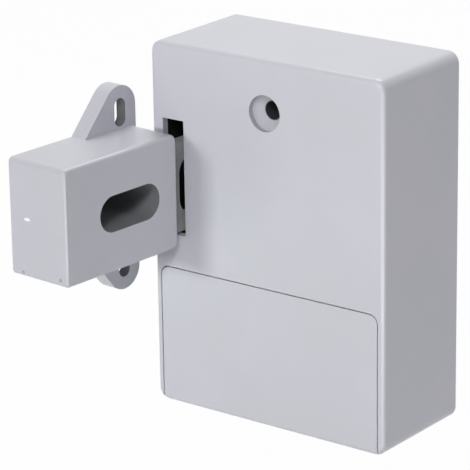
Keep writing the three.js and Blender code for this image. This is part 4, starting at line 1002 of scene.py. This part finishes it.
# %% Bend a leg and set it along the chips
LEG_WIDTH_MM = 0.4
LEG_PITCH_MM = 1.27
LEG_REACH_MM = 1.1
LEG_THICKNESS_MM = 0.15
board_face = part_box("circuit_board")[1].y
for node in ("control_chip", "reader_chip"):
    low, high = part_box(node)
    foot_mm, step_mm = LEG_THICKNESS_MM, ((low.y + high.y) / 2 - board_face) / MM
    # Outward reach from the chip's side and height above the board, in millimetres
    side_view = [(-0.2, step_mm), (0.3, step_mm), (0.55, foot_mm), (LEG_REACH_MM, foot_mm),
                 (LEG_REACH_MM, 0.0), (0.4, 0.0), (0.2, step_mm - foot_mm), (-0.2, step_mm - foot_mm)]
    leg_shape = bmesh.new()
    corners = [leg_shape.verts.new((x * MM, -LEG_WIDTH_MM / 2 * MM, z * MM)) for x, z in side_view]
    cheek = leg_shape.faces.new(corners)
    grown_side = bmesh.ops.extrude_face_region(leg_shape, geom=[cheek])
    far = [part for part in grown_side["geom"] if isinstance(part, bmesh.types.BMVert)]
    bmesh.ops.translate(leg_shape, verts=far, vec=(0, LEG_WIDTH_MM * MM, 0))
    bmesh.ops.recalc_face_normals(leg_shape, faces=leg_shape.faces)
    leg = linked(f"{node}_leg", mesh_from(f"{node}_leg", leg_shape))
    count = int((high.z - low.z) / MM / LEG_PITCH_MM)
    places, angles = [], []
    for edge, half_turn in ((high.x, 0.0), (low.x, math.pi)):
        for index in range(count):
            along = (low.z + high.z) / 2 + (index - (count - 1) / 2) * LEG_PITCH_MM * MM
            places.append((edge, board_face, along))
            angles.append((-math.pi / 2, half_turn, 0.0))
    mesh = grown(f"{node}_legs", copies, places, {"Copy": leg, "Material": nickel_plate}, angles)
    bpy.data.objects.remove(leg)
    # Legs are plated metal, and ride on their chip's body.
    dress(f"{node}_legs", mesh, [nickel_plate], node)
    print(node, "legs:", len(places))

# %% [markdown]
# ## The room and the light
# The photograph is a product shot on white. A pale floor fills the shadows. It lies below the lock, so
# that the cover is still in sight when it slides down. To the camera, floor and world look white,
# while the light that they send to the object stays plain.

# %% Floor and world
FLOOR_SIDE = 6.0
FLOOR_DROP = 45 * MM
FLOOR_COLOUR = "#E6E6E8"
FLOOR_ROUGHNESS = 0.9
FLOOR_GLOW = 0.97
WORLD_COLOUR = "#F4F6FF"
WORLD_LIGHT = 0.02
ROOM_GLOW = 1.0
bpy.context.scene.view_settings.view_transform = "Standard"


def white_to_the_eye(tree, shader, output, glow_kind, share):
    """Mix in a white glow that only camera, mirror and see-through rays meet."""
    path = add(tree, "ShaderNodeLightPath")
    total = add(tree, "ShaderNodeMath", {
        0: path.outputs["Is Camera Ray"], 1: path.outputs["Is Glossy Ray"]})
    total = add(tree, "ShaderNodeMath", {
        0: total.outputs[0], 1: path.outputs["Is Transmission Ray"]}, use_clamp=True)
    part = add(tree, "ShaderNodeMath", {0: total.outputs[0], 1: share}, operation="MULTIPLY")
    glow = add(tree, glow_kind, {"Color": (1, 1, 1, 1), "Strength": 1.0})
    mixed = add(tree, "ShaderNodeMixShader", {0: part.outputs[0], 1: shader.outputs[0], 2: glow.outputs[0]})
    fill(tree, output, {"Surface": mixed.outputs[0]})


floor_shape = bmesh.new()
bmesh.ops.create_grid(floor_shape, x_segments=1, y_segments=1, size=FLOOR_SIDE / 2,
                      matrix=Matrix.Translation((0, 0, cad_low.z - FLOOR_DROP)))
floor = linked("floor", mesh_from("floor", floor_shape))
pale_floor = bpy.data.materials.new("pale_floor")
pale_floor.use_nodes = True
floor_tree = pale_floor.node_tree
floor_paint = floor_tree.nodes["Principled BSDF"]
fill(floor_tree, floor_paint, {"Base Color": linear(FLOOR_COLOUR), "Roughness": FLOOR_ROUGHNESS})
white_to_the_eye(floor_tree, floor_paint, floor_tree.nodes["Material Output"],
                 "ShaderNodeEmission", FLOOR_GLOW)
floor.data.materials.append(pale_floor)

world = bpy.data.worlds.new("pale_room")
bpy.context.scene.world = world
world.use_nodes = True
room_tree = world.node_tree
room = room_tree.nodes["Background"]
fill(room_tree, room, {"Color": linear(WORLD_COLOUR), "Strength": WORLD_LIGHT})
white_to_the_eye(room_tree, room, room_tree.nodes["World Output"], "ShaderNodeBackground", ROOM_GLOW)
print("floor below the lock, mm:", round(FLOOR_DROP / MM, 1))

# %% [markdown]
# ### Soft boxes
# Two small soft boxes stand in front, left and right of the lock, a wide one above and behind it, and a
# weak one at the right. Each is given by its direction from the lock in degrees and its side in metres.

# %% Set up the soft boxes
SOFT_BOX_DISTANCE = 0.9
soft_boxes = {
    "front_key": {"azimuth": -15, "elevation": 8, "side": 0.12, "watts": 2.85},
    "right_front": {"azimuth": 29, "elevation": 36, "side": 0.2, "watts": 3.3},
    "upper_back": {"azimuth": -158, "elevation": 62, "side": 0.5, "watts": 5.9},
    "right_low": {"azimuth": 106, "elevation": 5, "side": 0.5, "watts": 0.75},
}


def area_lamp(name, foot, azimuth, elevation, distance, watts, width, height):
    """A rectangular lamp that stands in a direction from a point, and shines on that point."""
    direction = towards(math.radians(azimuth), math.radians(elevation))
    light = bpy.data.lights.new(name, "AREA")
    light.shape = "RECTANGLE"
    light.size, light.size_y = width, height
    light.energy = watts
    lamp = linked(name, light)
    lamp.location = foot + direction * distance
    lamp.rotation_euler = direction.to_track_quat("Z", "Y").to_euler()
    return lamp


object_middle = (cad_low + cad_high) / 2
for name, box in soft_boxes.items():
    area_lamp(name, object_middle, box["azimuth"], box["elevation"], SOFT_BOX_DISTANCE, box["watts"],
              box["side"], box["side"])
print("soft boxes:", len(soft_boxes))

# %% [markdown]
# ### A strip for the front edge
# A weak lamp stands low beside the right front edge, as tall as the edge is. It shines only as a
# reflection: the rounded edge gathers it to a pale line from top to bottom, and the flat faces do not.

# %% Stand the strip where the rounded edge mirrors it to the camera
STRIP_AZIMUTH = 36
STRIP_DISTANCE = 130 * MM
STRIP_DROP = 44 * MM
STRIP_WIDTH = 120 * MM
STRIP_WATTS = 0.2
edge_middle = Vector((housing_high.x, housing_low.y, (housing_low.z + housing_high.z) / 2))
strip = area_lamp("edge_strip", edge_middle - Vector((0, 0, STRIP_DROP)), STRIP_AZIMUTH, 0, STRIP_DISTANCE,
                  STRIP_WATTS, STRIP_WIDTH, housing_high.z - housing_low.z)
strip.visible_camera = False
strip.visible_diffuse = False
print("strip height, mm:", round(strip.data.size_y / MM, 1))
